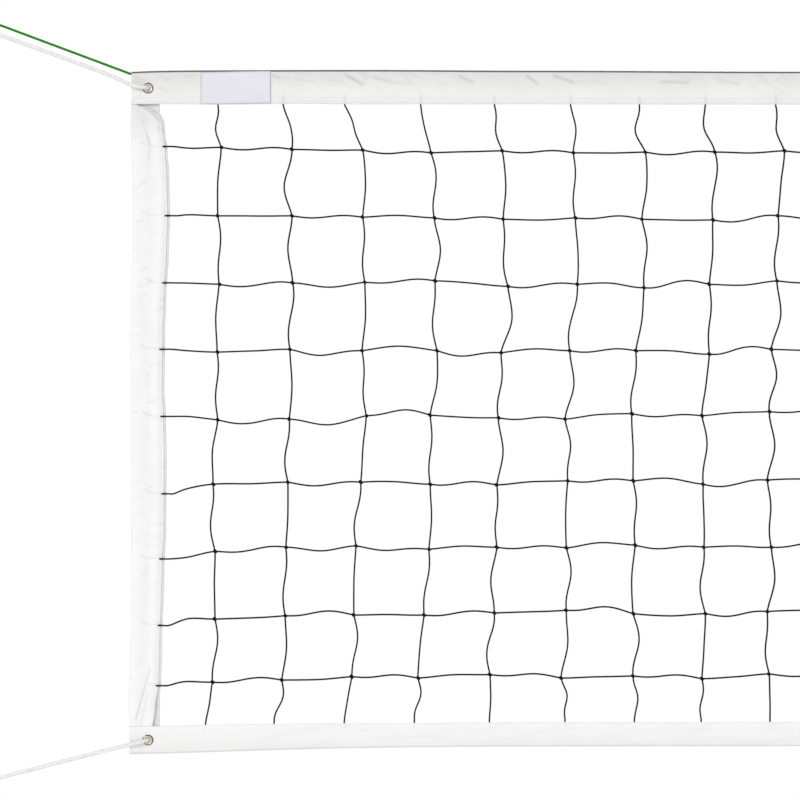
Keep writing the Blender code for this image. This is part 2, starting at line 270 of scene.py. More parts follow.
def sweep(name, routes, material, radius=1.0, section=None, lay=None, rounding=4):
    """One mesh of tubes along routes, round or of a section that turns once each lay.

    Its UV map runs along each tube in metres, and once round it.
    """
    curve = bpy.data.curves.new(name, "CURVE")
    curve.dimensions = "3D"
    curve.use_fill_caps = True
    if section:
        curve.bevel_mode = "OBJECT"
        curve.bevel_object = section
    else:
        curve.bevel_depth = radius
        curve.bevel_resolution = rounding
    for route in routes:
        spline = curve.splines.new("POLY")
        spline.points.add(len(route) - 1)
        travelled = 0.0
        for i, (point, place) in enumerate(zip(spline.points, route)):
            if i:
                travelled += (place - route[i - 1]).length
            point.co = (*place, 1.0)
            if section:
                point.radius = radius
                point.tilt = 2 * math.pi * travelled / lay
    source = bpy.data.objects.new(name + "_route", curve)
    scene.collection.objects.link(source)
    bpy.context.view_layer.update()
    graph = bpy.context.evaluated_depsgraph_get()
    mesh = bpy.data.meshes.new_from_object(source.evaluated_get(graph))
    bpy.data.objects.remove(source)
    mesh.name = name
    mesh.materials.clear()
    length = route_length(routes[0])
    for corner in mesh.uv_layers[0].data:
        corner.uv.x *= length
    mesh.set_sharp_from_angle(angle=math.radians(60))
    return new_piece(name, mesh, material)


def add_bump(shader, height, strength, distance, under=None):
    """Bumps a surface by a height, over another bump if there is one."""
    inputs = {"Height": height, "Strength": strength, "Distance": distance}
    if under:
        inputs["Normal"] = under
    bump = add_node(shader, "Bump", inputs).outputs[0]
    fill(shader, {"Normal": bump})
    return bump


# The Scale at which a Wave texture makes one wave in each unit
ONE_WAVE = math.pi / 10


def strand_bump(shader, strands, lay, depth, strength):
    """Strands that wind round a tube, as ridges in its bump, on its UV map."""
    uv = add_node(shader, "TexCoord").outputs["UV"]
    turn = ONE_WAVE * strands
    wound = add_node(shader, "Mapping", {"Vector": uv, "Scale": (turn / lay, turn, 0.0)})
    parts = add_node(shader, "SeparateXYZ", {0: wound.outputs[0]}).outputs
    line = add_node(shader, "CombineXYZ", {"X": work_out(shader, "ADD", parts["X"], parts["Y"])})
    waves = {"Vector": line.outputs[0], "Scale": 1.0, "Distortion": 0.0}
    ridges = add_node(shader, "TexWave", waves, wave_profile="SIN").outputs["Fac"]
    add_bump(shader, ridges, strength, depth)


def speckle(shader, dark, light, scale):
    """Soft uneven colour between two tones. Gives its noise and the colour itself."""
    where = add_node(shader, "TexCoord").outputs["Object"]
    grain = add_node(shader, "TexNoise", {"Vector": where, "Scale": scale, "Detail": 4.0})
    tones = add_node(shader, "ValToRGB", {"Fac": grain.outputs["Fac"]})
    for stop, position, colour in zip(tones.color_ramp.elements, (0.35, 0.65), (dark, light)):
        stop.position = position
        stop.color = (*colour, 1.0)
    fill(shader, {"Base Color": tones.outputs[0]})
    return grain.outputs["Fac"], tones.outputs[0]


green = {"colour": (0.014, 0.22, 0.0008), "roughness": 0.4, "specular": 0.12}
green_coat, green_shader = new_material("Green plastic coat", **green)
hidden_coat, hidden_shader = new_material("Green plastic coat, in the fold", **green)
for shader in (green_shader, hidden_shader):
    speckle(shader, (0.011, 0.19, 0.0006), (0.018, 0.25, 0.001), 60.0)
strand_bump(green_shader, strands=6, lay=0.022, depth=0.00012, strength=0.6)
nodes["top_cable"].material_slots[0].material = hidden_coat

cable_routes = {}
for word, side in SIDES.items():
    mouth = Vector((side * CABLE_MOUTH, 0.0, 0.0))
    along = Vector((side * math.cos(CABLE_RISE), 0.0, math.sin(CABLE_RISE)))
    across = Vector((-side * math.sin(CABLE_RISE), 0.0, math.cos(CABLE_RISE)))
    plan = smooth_route([(0, 0, 0)] + [(*p, 0) for p in CABLE_PULL + EYE + EYE_RETURN], 0.003)
    route = [mouth + along * p.x + across * p.y for p in plan]
    end = sweep(f"cable_end_{word}_wire", [route], green_coat, radius=CABLE_RADIUS + COAT_RIDGES)
    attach(end, f"cable_{word}")
    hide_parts(f"cable_end_{word}")
    cable_routes[word] = (end, route, mouth, along, across)


# --------------------------------------------------------------- the ferrules
# An oval aluminium sleeve round both runs of the cable at each eye. A hand press
# has crimped it at three places.
FERRULE_AT = 0.289
FERRULE_LENGTH = 0.014
FERRULE_WALL = 0.0012
FERRULE_SPREAD = 0.0038
CRIMPS = 3
CRIMP_DEPTH = 0.15

aluminium, aluminium_shader = new_material("Crimped aluminium", (0.62, 0.62, 0.63), 0.38, 1.0)
scuffs, _ = speckle(aluminium_shader, (0.5, 0.5, 0.51), (0.7, 0.7, 0.71), 900.0)
add_bump(aluminium_shader, scuffs, 0.35, 0.0001)

for word, side in SIDES.items():
    end, route, mouth, along, across = cable_routes[word]
    bm = bmesh.new()
    outer = CABLE_RADIUS + 0.0003 + FERRULE_WALL
    bmesh.ops.create_circle(bm, segments=36, radius=outer)
    for vert in bm.verts:
        vert.co.x += math.copysign(FERRULE_SPREAD / 2, vert.co.x)
    ring, size = bm.edges[:], 1.0
    steps = 42
    for i in range(1, steps + 1):
        swept = bmesh.ops.extrude_edge_only(bm, edges=ring)["geom"]
        ring = [item for item in swept if isinstance(item, bmesh.types.BMEdge)]
        moved = [item for item in swept if isinstance(item, bmesh.types.BMVert)]
        bmesh.ops.translate(bm, vec=(0, 0, FERRULE_LENGTH / steps), verts=moved)
        wave = 0.5 - 0.5 * math.cos(2 * math.pi * (i / steps * CRIMPS))
        pinch = 1.0 - CRIMP_DEPTH * wave**2
        bmesh.ops.scale(bm, vec=(1 - (1 - pinch / size) * 0.3, pinch / size, 1), verts=moved)
        size = pinch
    bmesh.ops.recalc_face_normals(bm, faces=bm.faces)
    back = Vector((0.0, 1.0, 0.0))
    turn = Matrix((across, back, across.cross(back)))
    low = FERRULE_AT if turn.row[2].dot(along) > 0 else FERRULE_AT + FERRULE_LENGTH
    seat = mouth + along * low + across * FERRULE_SPREAD / 2
    seated = Matrix.Translation(seat) @ turn.transposed().to_4x4()
    bmesh.ops.transform(bm, matrix=seated, verts=bm.verts)
    name = f"ferrule_{word}_sleeve"
    sleeve = new_piece(name, mesh_from(bm, name), aluminium)
    wall = sleeve.modifiers.new("Wall", "SOLIDIFY")
    wall.thickness = FERRULE_WALL
    wall.offset = -1.0
    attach(sleeve, f"cable_{word}")
    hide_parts(f"ferrule_{word}")
    route_length(route)


# --------------------------------------------------------------- the tie cords
# White three-strand cord, one through each corner eyelet, pulled out to a post.
# It is knotted behind the eyelet, and its far end is knotted into a loop.
CORD_CREST = 0.0031
CORD_LAY = 0.017
EYELET_X = 4.726
OVER_THE_RIM = [
    (0.0000, -0.0056),
    (0.0003, -0.0030),
    (0.0018, 0.0001),
    (0.0043, 0.0026),
    (0.0074, 0.0041),
    (0.0108, 0.0044),
]
PULL_FORWARD = 0.0044
KNOT_FORWARD = 0.0015
KNOT_REACH = 0.0065
LEG_APART = 0.0028
LOOP_DROP = math.radians(12)
LOOP = [
    (0.0130, 0.0045),
    (0.0210, 0.0085),
    (0.0300, 0.0120),
    (0.0390, 0.0132),
    (0.0475, 0.0115),
    (0.0540, 0.0068),
    (0.0565, 0.0000),
    (0.0540, -0.0068),
    (0.0475, -0.0115),
    (0.0390, -0.0132),
    (0.0300, -0.0120),
    (0.0210, -0.0085),
    (0.0130, -0.0045),
]
TIES = {
    "top": {
        "height": -0.0213,
        "crest": -0.0042,
        "stopper": 0.0095,
        "start": 0.08,
        "pull": [
            (0.0180, 0.0022),
            (0.0268, 0.0051),
            (0.0327, 0.0078),
            (0.0708, 0.0242),
            (0.2174, 0.0777),
        ],
        "knot": (0.2450, 0.0878),
    },
    "bottom": {
        "height": -0.9763,
        "crest": -0.0037,
        "stopper": 0.0090,
        "start": -0.21,
        "pull": [(0.0180, -0.0040), (0.0271, -0.0063), (0.0696, -0.0166), (0.2162, -0.0542)],
        "knot": (0.2450, -0.0616),
    },
}

rope_curve = bpy.data.curves.new("rope_section", "CURVE")
rope_curve.dimensions = "2D"
rope_outline = rope_curve.splines.new("POLY")
rope_outline.points.add(20)
rope_outline.use_cyclic_u = True
for i, point in enumerate(rope_outline.points):
    angle = 2 * math.pi * i / 21
    reach = CORD_CREST * (0.74 + 0.26 * abs(math.cos(1.5 * angle)) ** 0.8)
    point.co = (reach * math.cos(angle), reach * math.sin(angle), 0.0, 1.0)
rope_section = bpy.data.objects.new("rope_section", rope_curve)
scene.collection.objects.link(rope_section)

rope, rope_shader = new_material("White cord", (0.92, 0.92, 0.90), 0.8, specular=0.2)
speckle(rope_shader, (0.80, 0.795, 0.77), (0.905, 0.905, 0.895), 300.0)
strand_bump(rope_shader, strands=21, lay=-0.017, depth=0.00012, strength=0.65)


def tied_wraps(name, centre, axis, out, near, far, turns, wrap, tail):
    """A knot's wraps: out of the middle at the far side, round it and back, then its tail."""
    up = axis.cross(out).normalized()

    def at(along, reach, angle):
        radial = out * math.cos(angle) + up * math.sin(angle)
        return centre + axis * along + radial * reach

    points = [at(far - 0.002, 0.0, 0.0), at(far + 0.0012, wrap * 0.45, 0.0)]
    count = round(turns * 8)
    for i in range(count + 1):
        share = i / count
        points.append(at(far + (near - far) * share, wrap, 0.9 + 2 * math.pi * turns * share))
    last = 0.9 + 2 * math.pi * turns
    tangent = up * math.cos(last) - out * math.sin(last)
    for reach in (0.4, 1.0):
        points.append(points[-1] + (tangent + axis * 0.25) * tail * reach)
    route = smooth_route(points, 0.0011)
    return sweep(name, [route], rope, radius=0.70, section=rope_section, lay=CORD_LAY)


for level, tie in TIES.items():
    for word, side in SIDES.items():
        spot = f"{level}_{word}"

        def tie_place(out, up, forward):
            return Vector((side * (EYELET_X + out), tie["crest"] - forward, tie["height"] + up))

        behind = Vector((side * EYELET_X, tie["stopper"], tie["height"]))
        last_x, last_z = tie["pull"][-1]
        knot_x, knot_z = tie["knot"]
        heading = Vector((knot_x - last_x, knot_z - last_z)).normalized()
        bend = [tie_place(out, tie["start"] * out, forward) for out, forward in OVER_THE_RIM]
        pull = [tie_place(out, up, PULL_FORWARD) for out, up in [*tie["pull"], tie["knot"]]]
        heading.rotate(Matrix.Rotation(-LOOP_DROP, 2))
        loop = [
            tie_place(
                knot_x + heading.x * along - heading.y * across,
                knot_z + heading.y * along + heading.x * across,
                PULL_FORWARD,
            )
            for along, across in [(KNOT_REACH, LEG_APART), *LOOP, (KNOT_REACH, -LEG_APART)]
        ]
        route = smooth_route([behind, *bend, *pull, *loop, pull[-1]], 0.0014)
        cord = sweep(f"tie_{spot}_rope", [route], rope, section=rope_section, lay=CORD_LAY)
        stopper = tied_wraps(
            f"tie_stopper_{spot}_wraps",
            centre=behind,
            axis=Vector((0.0, 1.0, 0.0)),
            out=Vector((side, 0.0, 0.0)),
            near=-0.0024,
            far=0.0042,
            turns=2.0,
            wrap=0.0040,
            tail=0.009,
        )
        knot = tied_wraps(
            f"tie_knot_{spot}_wraps",
            centre=tie_place(knot_x, knot_z, PULL_FORWARD + KNOT_FORWARD),
            axis=Vector((side * heading.x, 0.0, heading.y)),
            out=Vector((0.0, -1.0, 0.0)),
            near=-0.0045,
            far=0.0045,
            turns=2.4,
            wrap=0.0042,
            tail=0.010,
        )
        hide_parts(f"tie_cord_{spot}", f"tie_loop_{spot}")
        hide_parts(f"tie_stopper_{spot}")
        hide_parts(f"tie_knot_{spot}")
        for piece in (cord, stopper, knot):
            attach(piece, f"tie_{spot}")
        route_length(route)
bpy.data.objects.remove(rope_section)


# ---------------------------------------------------- the eyelets and washers
# Two-part eyelets of nickel-plated brass, pressed through both plies: a domed
# flange in front, a barrel, and a lip rolled out over a washer behind.
BORE = 0.0047
THROAT = 0.0037
BARREL = 0.0055
RIM = 0.00775
DOME = 0.0012
# How far behind the front the throat is full, how far it runs, and where the bore begins
THROAT_FULL = 0.0036
THROAT_END = 0.0048
BORE_START = 0.0062
BORE_ROUND = 0.0005
LIP_WIDTH = 0.0013
LIP_THICKNESS = 0.0006
WASHER_THICKNESS = 0.0008
WASHER_CHAMFER = 0.0002
WASHER_BORE = BARREL + 0.0003
GRIP = {"top": 0.0077, "bottom": 0.0067}
WASHER_FRONT = {"top": 0.0030, "bottom": 0.0025}

def blend_colours(shader, share, first, second, how="MIX"):
    """A colour mixed from two, each a socket or three numbers."""
    parts = {0: share, 6: first, 7: second}
    return add_node(shader, "Mix", parts, data_type="RGBA", blend_type=how).outputs[2]


nickel, nickel_shader = new_material("Nickel plate", (0.70, 0.64, 0.54), 0.2, 1.0)
wear, plate = speckle(nickel_shader, (0.58, 0.52, 0.41), (0.76, 0.71, 0.62), 350.0)
reach = add_node(nickel_shader, "Attribute", attribute_name="reach").outputs["Fac"]
# Inside the barrel the plating is pale cream dull brass, rougher and less metallic: painted light
# that brightens the shaded throat
plated = change(nickel_shader, reach, 0.0048, 0.0056)
painted_shading = blend_colours(nickel_shader, plated, (0.95, 0.88, 0.74), plate)
# Painted shadow and dark reflection round the flange's outer rim, where it meets the cloth
rim_shade_share = change(nickel_shader, reach, 0.0060, 0.0068)
rim_shaded = blend_colours(nickel_shader, rim_shade_share, painted_shading, (0.20, 0.18, 0.13))
dulled = change(nickel_shader, plated, 0.0, 1.0, 0.6, 0.2, "LINEAR")
bare = change(nickel_shader, plated, 0.0, 1.0, 0.25, 1.0, "LINEAR")
fill(nickel_shader, {"Base Color": rim_shaded, "Roughness": dulled, "Metallic": bare})
add_bump(nickel_shader, wear, 0.2, 0.00008)


def turn_piece(name, profile, centre, material):
    """A closed profile of (radius, height) spun about the line from front to back."""
    bm = bmesh.new()
    corners = [bm.verts.new((radius, 0.0, height)) for radius, height in profile]
    edges = [bm.edges.new(pair) for pair in zip(corners, corners[1:] + corners[:1])]
    bmesh.ops.spin(
        bm,
        geom=corners + edges,
        cent=(0, 0, 0),
        axis=(0, 0, 1),
        angle=2 * math.pi,
        steps=56,
        use_merge=True,
    )
    bmesh.ops.remove_doubles(bm, verts=bm.verts, dist=0.000001)
    bmesh.ops.recalc_face_normals(bm, faces=bm.faces)
    to_front = Matrix.Rotation(math.pi / 2, 3, "X")
    bmesh.ops.rotate(bm, cent=(0, 0, 0), matrix=to_front, verts=bm.verts)
    bmesh.ops.translate(bm, vec=centre, verts=bm.verts)
    mesh = mesh_from(bm, name)
    mesh.set_sharp_from_angle(angle=math.radians(40))
    reach = mesh.attributes.new("reach", "FLOAT", "POINT")
    for vert, mark in zip(mesh.vertices, reach.data):
        mark.value = math.hypot(vert.co.x - centre[0], vert.co.z - centre[2])
    return new_piece(name, mesh, material)


def arc(centre_r, centre_h, radius_r, radius_h, start, stop, count):
    """Points on part of an ellipse, in degrees, as (radius, height)."""
    turned = [math.radians(start + (stop - start) * i / count) for i in range(count + 1)]
    return [
        (centre_r + radius_r * math.cos(a), centre_h + radius_h * math.sin(a)) for a in turned
    ]


for level, tie in TIES.items():
    back = -(GRIP[level] + DOME)
    shoulder = BORE + DOME
    profile = [(THROAT, -THROAT_END), (THROAT, -THROAT_FULL)]
    profile += arc(shoulder, -THROAT_FULL, shoulder - THROAT, THROAT_FULL, 180, 90, 9)[1:]
    profile += arc(shoulder, -DOME, RIM - BORE - DOME, DOME, 90, 0, 8)[1:]
    profile += [(BARREL, -DOME), (BARREL, back + LIP_THICKNESS)]
    bend = LIP_THICKNESS / 2
    profile += arc(BARREL + LIP_WIDTH - bend, back + bend, bend, bend, 90, -90, 6)
    profile += arc(BORE + BORE_ROUND, back + BORE_ROUND, BORE_ROUND, BORE_ROUND, -90, -180, 4)
    profile += [(BORE, -BORE_START)]
    washer_profile = [
        (WASHER_BORE, 0.0),
        (RIM - WASHER_CHAMFER, 0.0),
        (RIM, -WASHER_CHAMFER),
        (RIM, WASHER_CHAMFER - WASHER_THICKNESS),
        (RIM - WASHER_CHAMFER, -WASHER_THICKNESS),
        (WASHER_BORE, -WASHER_THICKNESS),
    ]
    for word, side in SIDES.items():
        spot = f"{level}_{word}"
        x, z = side * EYELET_X, tie["height"]
        eyelet = turn_piece(f"eyelet_{spot}_flange", profile, (x, tie["crest"], z), nickel)
        washer_centre = (x, WASHER_FRONT[level], z)
        washer = turn_piece(f"washer_{spot}_ring", washer_profile, washer_centre, nickel)
        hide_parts(f"eyelet_{spot}")
        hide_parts(f"washer_{spot}")
        for piece in (eyelet, washer):
            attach(piece, "net")


# -------------------------------------------------------------------- the mesh
# Black twisted twine: 92 uprights and 9 rows, between a head line and a foot line. It
# is slack between the bands, so each length between two knots sways its own way.
TWINE_RADIUS = 0.00135
ROWS = 9
COLUMNS = 90
FIRST_ROW = -0.1116
LAST_ROW = -0.8908
FIRST_COLUMN = 4.62
ROW_BACK = 0.0017
HALF_LENGTH = 4.75
HEAD = -0.0445
FOOT = -0.9560
# Height of the head line and of the foot line, and how far each follows the bottom band
END_LINES = ((-0.0035, 0.0), (-0.9930, 1.0))
LINE_MARGIN = 0.038
# How far the bottom band stands up between its corners, and over what length it rises
BOTTOM_LIFT = 0.0115
BOTTOM_RUN = 0.26
BOW = 0.0012
# Millimetres to the right of its even place, down each upright from the top band to
# the bottom band: at each knot, and halfway between
UPRIGHT_SWAY = [
    (-4, -8, 1, -5, -4, -2, -2, -8, -5, -7, -4,
     -13, -11, -15, -8, -10, -8, -7, -12, -17, -22),
    (-12, -2, 1, -11, 1, -6, 2, -2, -2, 0, -3,
     -9, -5, -6, -8, -11, -9, -8, -14, -15, -25),
    (-26, -13, 1, 4, 1, 1, 4, 4, 0, 1, 6,
     0, -2, -10, -9, -13, -12, -9, -15, -22, -26),
    (-18, -13, -3, 3, 2, 10, 3, -1, 6, 5, -4,
     -4, -4, -3, -6, -10, -13, -20, -22, -20, -27),
    (-14, -13, -2, 2, -1, -1, 6, 11, -4, -5, -8,
     -2, -10, -12, -10, -20, -14, -24, -20, -20, -21),
    (-6, 1, -2, -1, 1, 4, 4, -5, -7, -2, -14,
     -7, -10, -14, -12, -7, -12, -11, -20, -12, -14),
    (-9, -16, 0, 1, -5, 1, -2, -6, -14, -18, -20,
     -19, -18, -15, -15, -21, -18, -11, -18, -12, -16),
    (-16, -19, -2, -3, -5, -6, -10, -10, -10, -16, -21,
     -15, -19, -19, -18, -24, -16, -19, -21, -22, -22),
    (-17, -17, -4, -10, -13, -17, -15, -10, -23, -17, -26,
     -19, -29, -25, -23, -19, -29, -32, -26, -26, -25),
]
# Millimetres above its even place, along each row from the side band: there, halfway
# to the first upright, at its knot, and so on
ROW_SWAY = [
    (5, 4, 4, 3, 1, 1, 0, -3, -4, -1, -1, -1, -4, -3, -3, -4, -3, -3, -1),
    (1, 4, 1, 2, 1, 1, -1, 3, -2, -1, -4, -4, -2, 1, -4, -4, -5, -4, 1),
    (0, 1, -2, -2, 0, -5, 1, 4, 3, 1, -5, -2, -2, 1, -7, 3, -2, -2, 3),
    (0, -1, -4, -1, 0, -7, -2, 6, -2, -8, -5, 2, -2, 0, -2, -1, -7, 3, 0),
    (-1, 0, -6, -9, -5, -12, 0, 9, 1, -1, -3, -2, -5, 3, 3, 1, 0, 6, 6),
    (-17, -8, -3, -1, 0, -3, 0, 2, -3, 1, -4, 2, 2, 4, 2, 7, -3, -2, 3),
    (-15, -11, -4, -1, 2, -2, 4, -1, -1, 5, 2, 4, 1, 10, 5, 2, 2, 5, 2),
    (-15, -4, -6, -3, -1, 6, 0, 2, 0, 5, 3, 6, 7, 13, 2, 0, 2, 1, 5),
    (-6, 1, -1, 5, 2, 4, 7, 10, 5, 11, 10, 12, 5, 8, 8, 10, 4, 8, 11),
]
# How each row comes out over the side band's front edge: how far past it, and how far back
ROW_EXIT = [
    (-0.0058, 0.0008),
    (-0.0042, -0.0007),
    (-0.0024, -0.0020),
    (0.0008, -0.0022),
    (0.0060, -0.0012),
    (0.0140, 0.0004),
]
# Height, and how far in from the net's end: the side band's front inner edge, which
# the rows come out over, and the edge upright inside the side band
FRONT_EDGE = [
    (-0.039, 0.0040),
    (-0.0455, 0.0080),
    (-0.0485, 0.0210),
    (-0.0535, 0.0300),
    (-0.0610, 0.0405),
    (-0.0700, 0.0446),
    (-0.090, 0.0460),
    (-0.112, 0.0490),
    (-0.150, 0.0515),
    (-0.210, 0.0527),
    (-0.262, 0.0508),
    (-0.331, 0.0471),
    (-0.376, 0.0455),
    (-0.463, 0.0445),
    (-0.493, 0.0464),
    (-0.560, 0.0477),
    (-0.669, 0.0470),
    (-0.727, 0.0443),
    (-0.845, 0.0410),
    (-0.889, 0.0397),
    (-0.933, 0.0338),
    (-0.961, 0.0300),
]
EDGE_UPRIGHT = [
    (-0.003, 0.038),
    (-0.020, 0.038),
    (-0.042, 0.006),
    (-0.052, 0.009),
    (-0.085, 0.038),
    (-0.800, 0.037),
    (-0.890, 0.030),
    (-0.930, 0.025),
    (-0.952, 0.024),
    (-0.972, 0.038),
    (-0.993, 0.038),
]


def ease(value, low, high):
    share = min(1.0, max(0.0, (value - low) / (high - low)))
    return share * share * (3 - 2 * share)


def even(start, stop, step):
    count = max(1, round(abs(stop - start) / step))
    return [start + (stop - start) * i / count for i in range(count + 1)]


def read_edge(edge, z):
    """How far in an edge lies at a height, eased between its own places."""
    for (high, first), (low, second) in zip(edge, edge[1:]):
        if z >= low:
            return first + (second - first) * ease(-z, -high, -low)
    return edge[-1][1]


def bottom_rise(x):
    """How far the bottom band stands above its corners, which the tie cords hold down."""
    away = max(HALF_LENGTH - abs(x), 0.0)
    lift = BOTTOM_LIFT * (1.0 - math.exp(-((away / BOTTOM_RUN) ** 1.5)))
    return lift + ease(away, 0.3, 1.2) * 0.0030 * noise.noise(Vector((x * 1.7, 9.1, 2.0)))


def lean(route, stops, first, run, aside, way):
    """Bends each span of a twine away from its knots, which are tied left and right by turns."""
    for i, (start, stop) in enumerate(zip(stops, stops[1:])):
        tied = 0.0024 if (first + i) % 2 else -0.0002
        for point in route:
            share = (point[run] - start) / (stop - start)
            if 0.0 < share < 1.0:
                point[aside] += way * tied * math.sin(2 * math.pi * share)


luck = random.Random(14)
row_pitch = (FIRST_ROW - LAST_ROW) / (ROWS - 1)
column_pitch = 2 * FIRST_COLUMN / (COLUMNS - 1)


def upright_sway(column):
    """The sway down one upright, in metres: as listed, or by chance in the unseen part."""
    if column < len(UPRIGHT_SWAY):
        return [value / 1000 for value in UPRIGHT_SWAY[column]]
    drift = -0.024 * (1 - 2 * column / (COLUMNS - 1))
    sway = []
    for i in range(21):
        loose = 0.0035 if i % 2 == 0 else 0.0065
        sway.append(drift * i / 20 + luck.uniform(-loose, loose))
    sway[0] += luck.uniform(-0.010, 0.010)
    return sway


def row_sway(row):
    """The sway along one row, in metres: as listed, or by chance in the unseen part."""
    sway = [value / 1000 for value in ROW_SWAY[row]]
    share = (row / (ROWS - 1)) ** 1.5
    for i in range(len(sway), 2 * COLUMNS + 1):
        x = -FIRST_COLUMN + column_pitch * (i / 2 - 1)
        loose = 0.0035 if i % 2 == 0 else 0.0060
        sway.append(share * bottom_rise(x) * 0.8 + luck.uniform(-loose, loose))
    return sway


homes = [-FIRST_COLUMN + column_pitch * column for column in range(COLUMNS)]
upright_sways = [upright_sway(column) for column in range(COLUMNS)]
row_sways = [row_sway(row) for row in range(ROWS)]
heads = [home + sway[0] for home, sway in zip(homes, upright_sways)]
feet = [home + sway[-1] for home, sway in zip(homes, upright_sways)]


def knot_place(column, row):
    x = homes[column] + upright_sways[column][2 + 2 * row]
    z = FIRST_ROW - row_pitch * row + row_sways[row][2 + 2 * column]
    return x, z


upright_routes = []
for column in range(COLUMNS):
    sway = upright_sways[column]
    foot_z = FOOT + bottom_rise(feet[column])
    crossings = [knot_place(column, row) for row in range(ROWS)]
    levels = [HEAD] + [z for x, z in crossings] + [foot_z]
    points = [(heads[column] - 0.002, 0.0, -0.0045), (heads[column], 0.0, HEAD)]
    for i, (high, low) in enumerate(zip(levels, levels[1:])):
        bow = luck.uniform(-BOW, BOW)
        points.append((homes[column] + sway[2 * i + 1] + 0.001, bow, (high + low) / 2))
        if i < ROWS:
            points.append((crossings[i][0], 0.0, crossings[i][1]))
    points += [(feet[column], 0.0, foot_z), (feet[column], 0.0, foot_z - 0.036)]
    upright_routes.append(smooth_route(points, 0.0070))
    lean(upright_routes[-1], levels, column + 1, 2, 0, 1)
for side in SIDES.values():
    edge_places = [
        (side * (HALF_LENGTH - read_edge(EDGE_UPRIGHT, z)), 0.0, z)
        for z in even(-0.003, -0.11, 0.004) + even(-0.12, -0.80, 0.03) + even(-0.81, -0.993, 0.006)
    ]
    upright_routes.append([Vector(place) for place in edge_places])
for z, rise in END_LINES:
    line = even(LINE_MARGIN - HALF_LENGTH, HALF_LENGTH - LINE_MARGIN, 0.05)
    upright_routes.append([Vector((x, 0.0, z + rise * bottom_rise(x))) for x in line])

row_routes = []
for row in range(ROWS):
    home = FIRST_ROW - row_pitch * row
    sway = row_sways[row]
    ends = []
    for side, z in ((-1, home + sway[0]), (1, home + sway[-1] * 0.5)):
        inner = read_edge(FRONT_EDGE, z)
        end = [(read_edge(EDGE_UPRIGHT, z), ROW_BACK)] + [(inner + past, y) for past, y in ROW_EXIT]
        ends.append([(side * (HALF_LENGTH - inward), y, z) for inward, y in end])
    points = ends[0]
    for column in range(COLUMNS):
        x, level = knot_place(column, row)
        bow = ROW_BACK + luck.uniform(-BOW, BOW)
        middle = (points[-1][0] + x) / 2 if column else (points[0][0] + x) / 2 + 0.004
        points.append((middle, bow, home + sway[1 + 2 * column] - 0.0013))
        points.append((x, ROW_BACK, level))
    row_routes.append(smooth_route(points + ends[1][::-1], 0.0060))
    crossings = [knot_place(column, row)[0] for column in range(COLUMNS)]
    lean(row_routes[-1], crossings, row + 1, 0, 2, -1)

black = {"colour": (0.010, 0.010, 0.009), "roughness": 0.75, "specular": 0.15}
twine, twine_shader = new_material("Black twine", **black)
speckle(twine_shader, (0.006, 0.006, 0.006), (0.016, 0.015, 0.014), 500.0)
strand_bump(twine_shader, strands=3, lay=0.0075, depth=0.0003, strength=0.7)

uprights = sweep("net_uprights_twine", upright_routes, twine, radius=TWINE_RADIUS, rounding=1)
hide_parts("net_uprights")
rows = sweep("net_rows_twine", row_routes, twine, radius=TWINE_RADIUS, rounding=1)
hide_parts(*[f"net_row_{row + 1}" for row in range(ROWS)])


# ------------------------------------------------------------------- the knots
# Each crossing is tied: a turn of the same twine drawn tight round a small lump. No
# two sit quite alike.
KNOT_CORE = 0.0029
KNOT_TURN = 0.0029
KNOT_STRAND = 0.0013

bm = bmesh.new()
bmesh.ops.create_uvsphere(bm, u_segments=8, v_segments=5, radius=KNOT_CORE)
section = [
    bm.verts.new((KNOT_TURN, KNOT_STRAND * math.cos(a), KNOT_STRAND * math.sin(a)))
    for a in (0.0, math.pi / 2, math.pi, 3 * math.pi / 2)
]
section += [bm.edges.new(pair) for pair in zip(section, section[1:] + section[:1])]
bmesh.ops.spin(
    bm, geom=section, cent=(0, 0, 0), axis=(0, 1, 0), angle=2 * math.pi, steps=10, use_merge=True
)
bmesh.ops.recalc_face_normals(bm, faces=bm.faces)
one_knot = mesh_from(bm, "one_knot")
bm = bmesh.new()
for column in range(COLUMNS):
    for row in range(ROWS):
        x, z = knot_place(column, row)
        count = len(bm.verts)
        bm.from_mesh(one_knot)
        bm.verts.ensure_lookup_table()
        turn = Matrix.Rotation(math.pi / 4 + luck.uniform(-0.3, 0.3), 4, "Y")
        turn = turn @ Matrix.Rotation(math.pi / 2 + luck.uniform(-0.5, 0.5), 4, "X")
        grow = Matrix.Diagonal((luck.uniform(0.95, 1.2), 1.0, luck.uniform(0.9, 1.1), 1.0))
        spot = Matrix.Translation((x + luck.uniform(-0.0006, 0.0006), ROW_BACK / 2, z))
        bmesh.ops.transform(bm, matrix=spot @ turn @ grow, verts=bm.verts[count:])
bpy.data.meshes.remove(one_knot)
knot_twine, knot_shader = new_material("Black twine, knotted", **black)
fuzz, _ = speckle(knot_shader, (0.005, 0.005, 0.005), (0.014, 0.013, 0.012), 500.0)
add_bump(knot_shader, fuzz, 0.6, 0.0004)
knots = new_piece("net_knots_twine", mesh_from(bm, "net_knots_twine"), knot_twine)

for piece in (uprights, rows, knots):
    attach(piece, "net")


# --------------------------------------------------------------- the top band
# One white coated tape folded over the cable and sewn to itself below the mesh's
# head line. A dark grey line runs along its fold, and it creases below the fold.
CLOTH = 0.0005
TOP_PLY = 0.0453
TOP_BEND = 0.0023
TOP_ARC = math.pi * TOP_BEND
TOP_SEAMS = (0.0035, 0.0085)
EYELET_HOLE = 0.0062
# The cut edge is drawn in to a round hole from as far out as this
HOLE_RIM = 0.0095
WEAVE_DEPTH = 0.00005


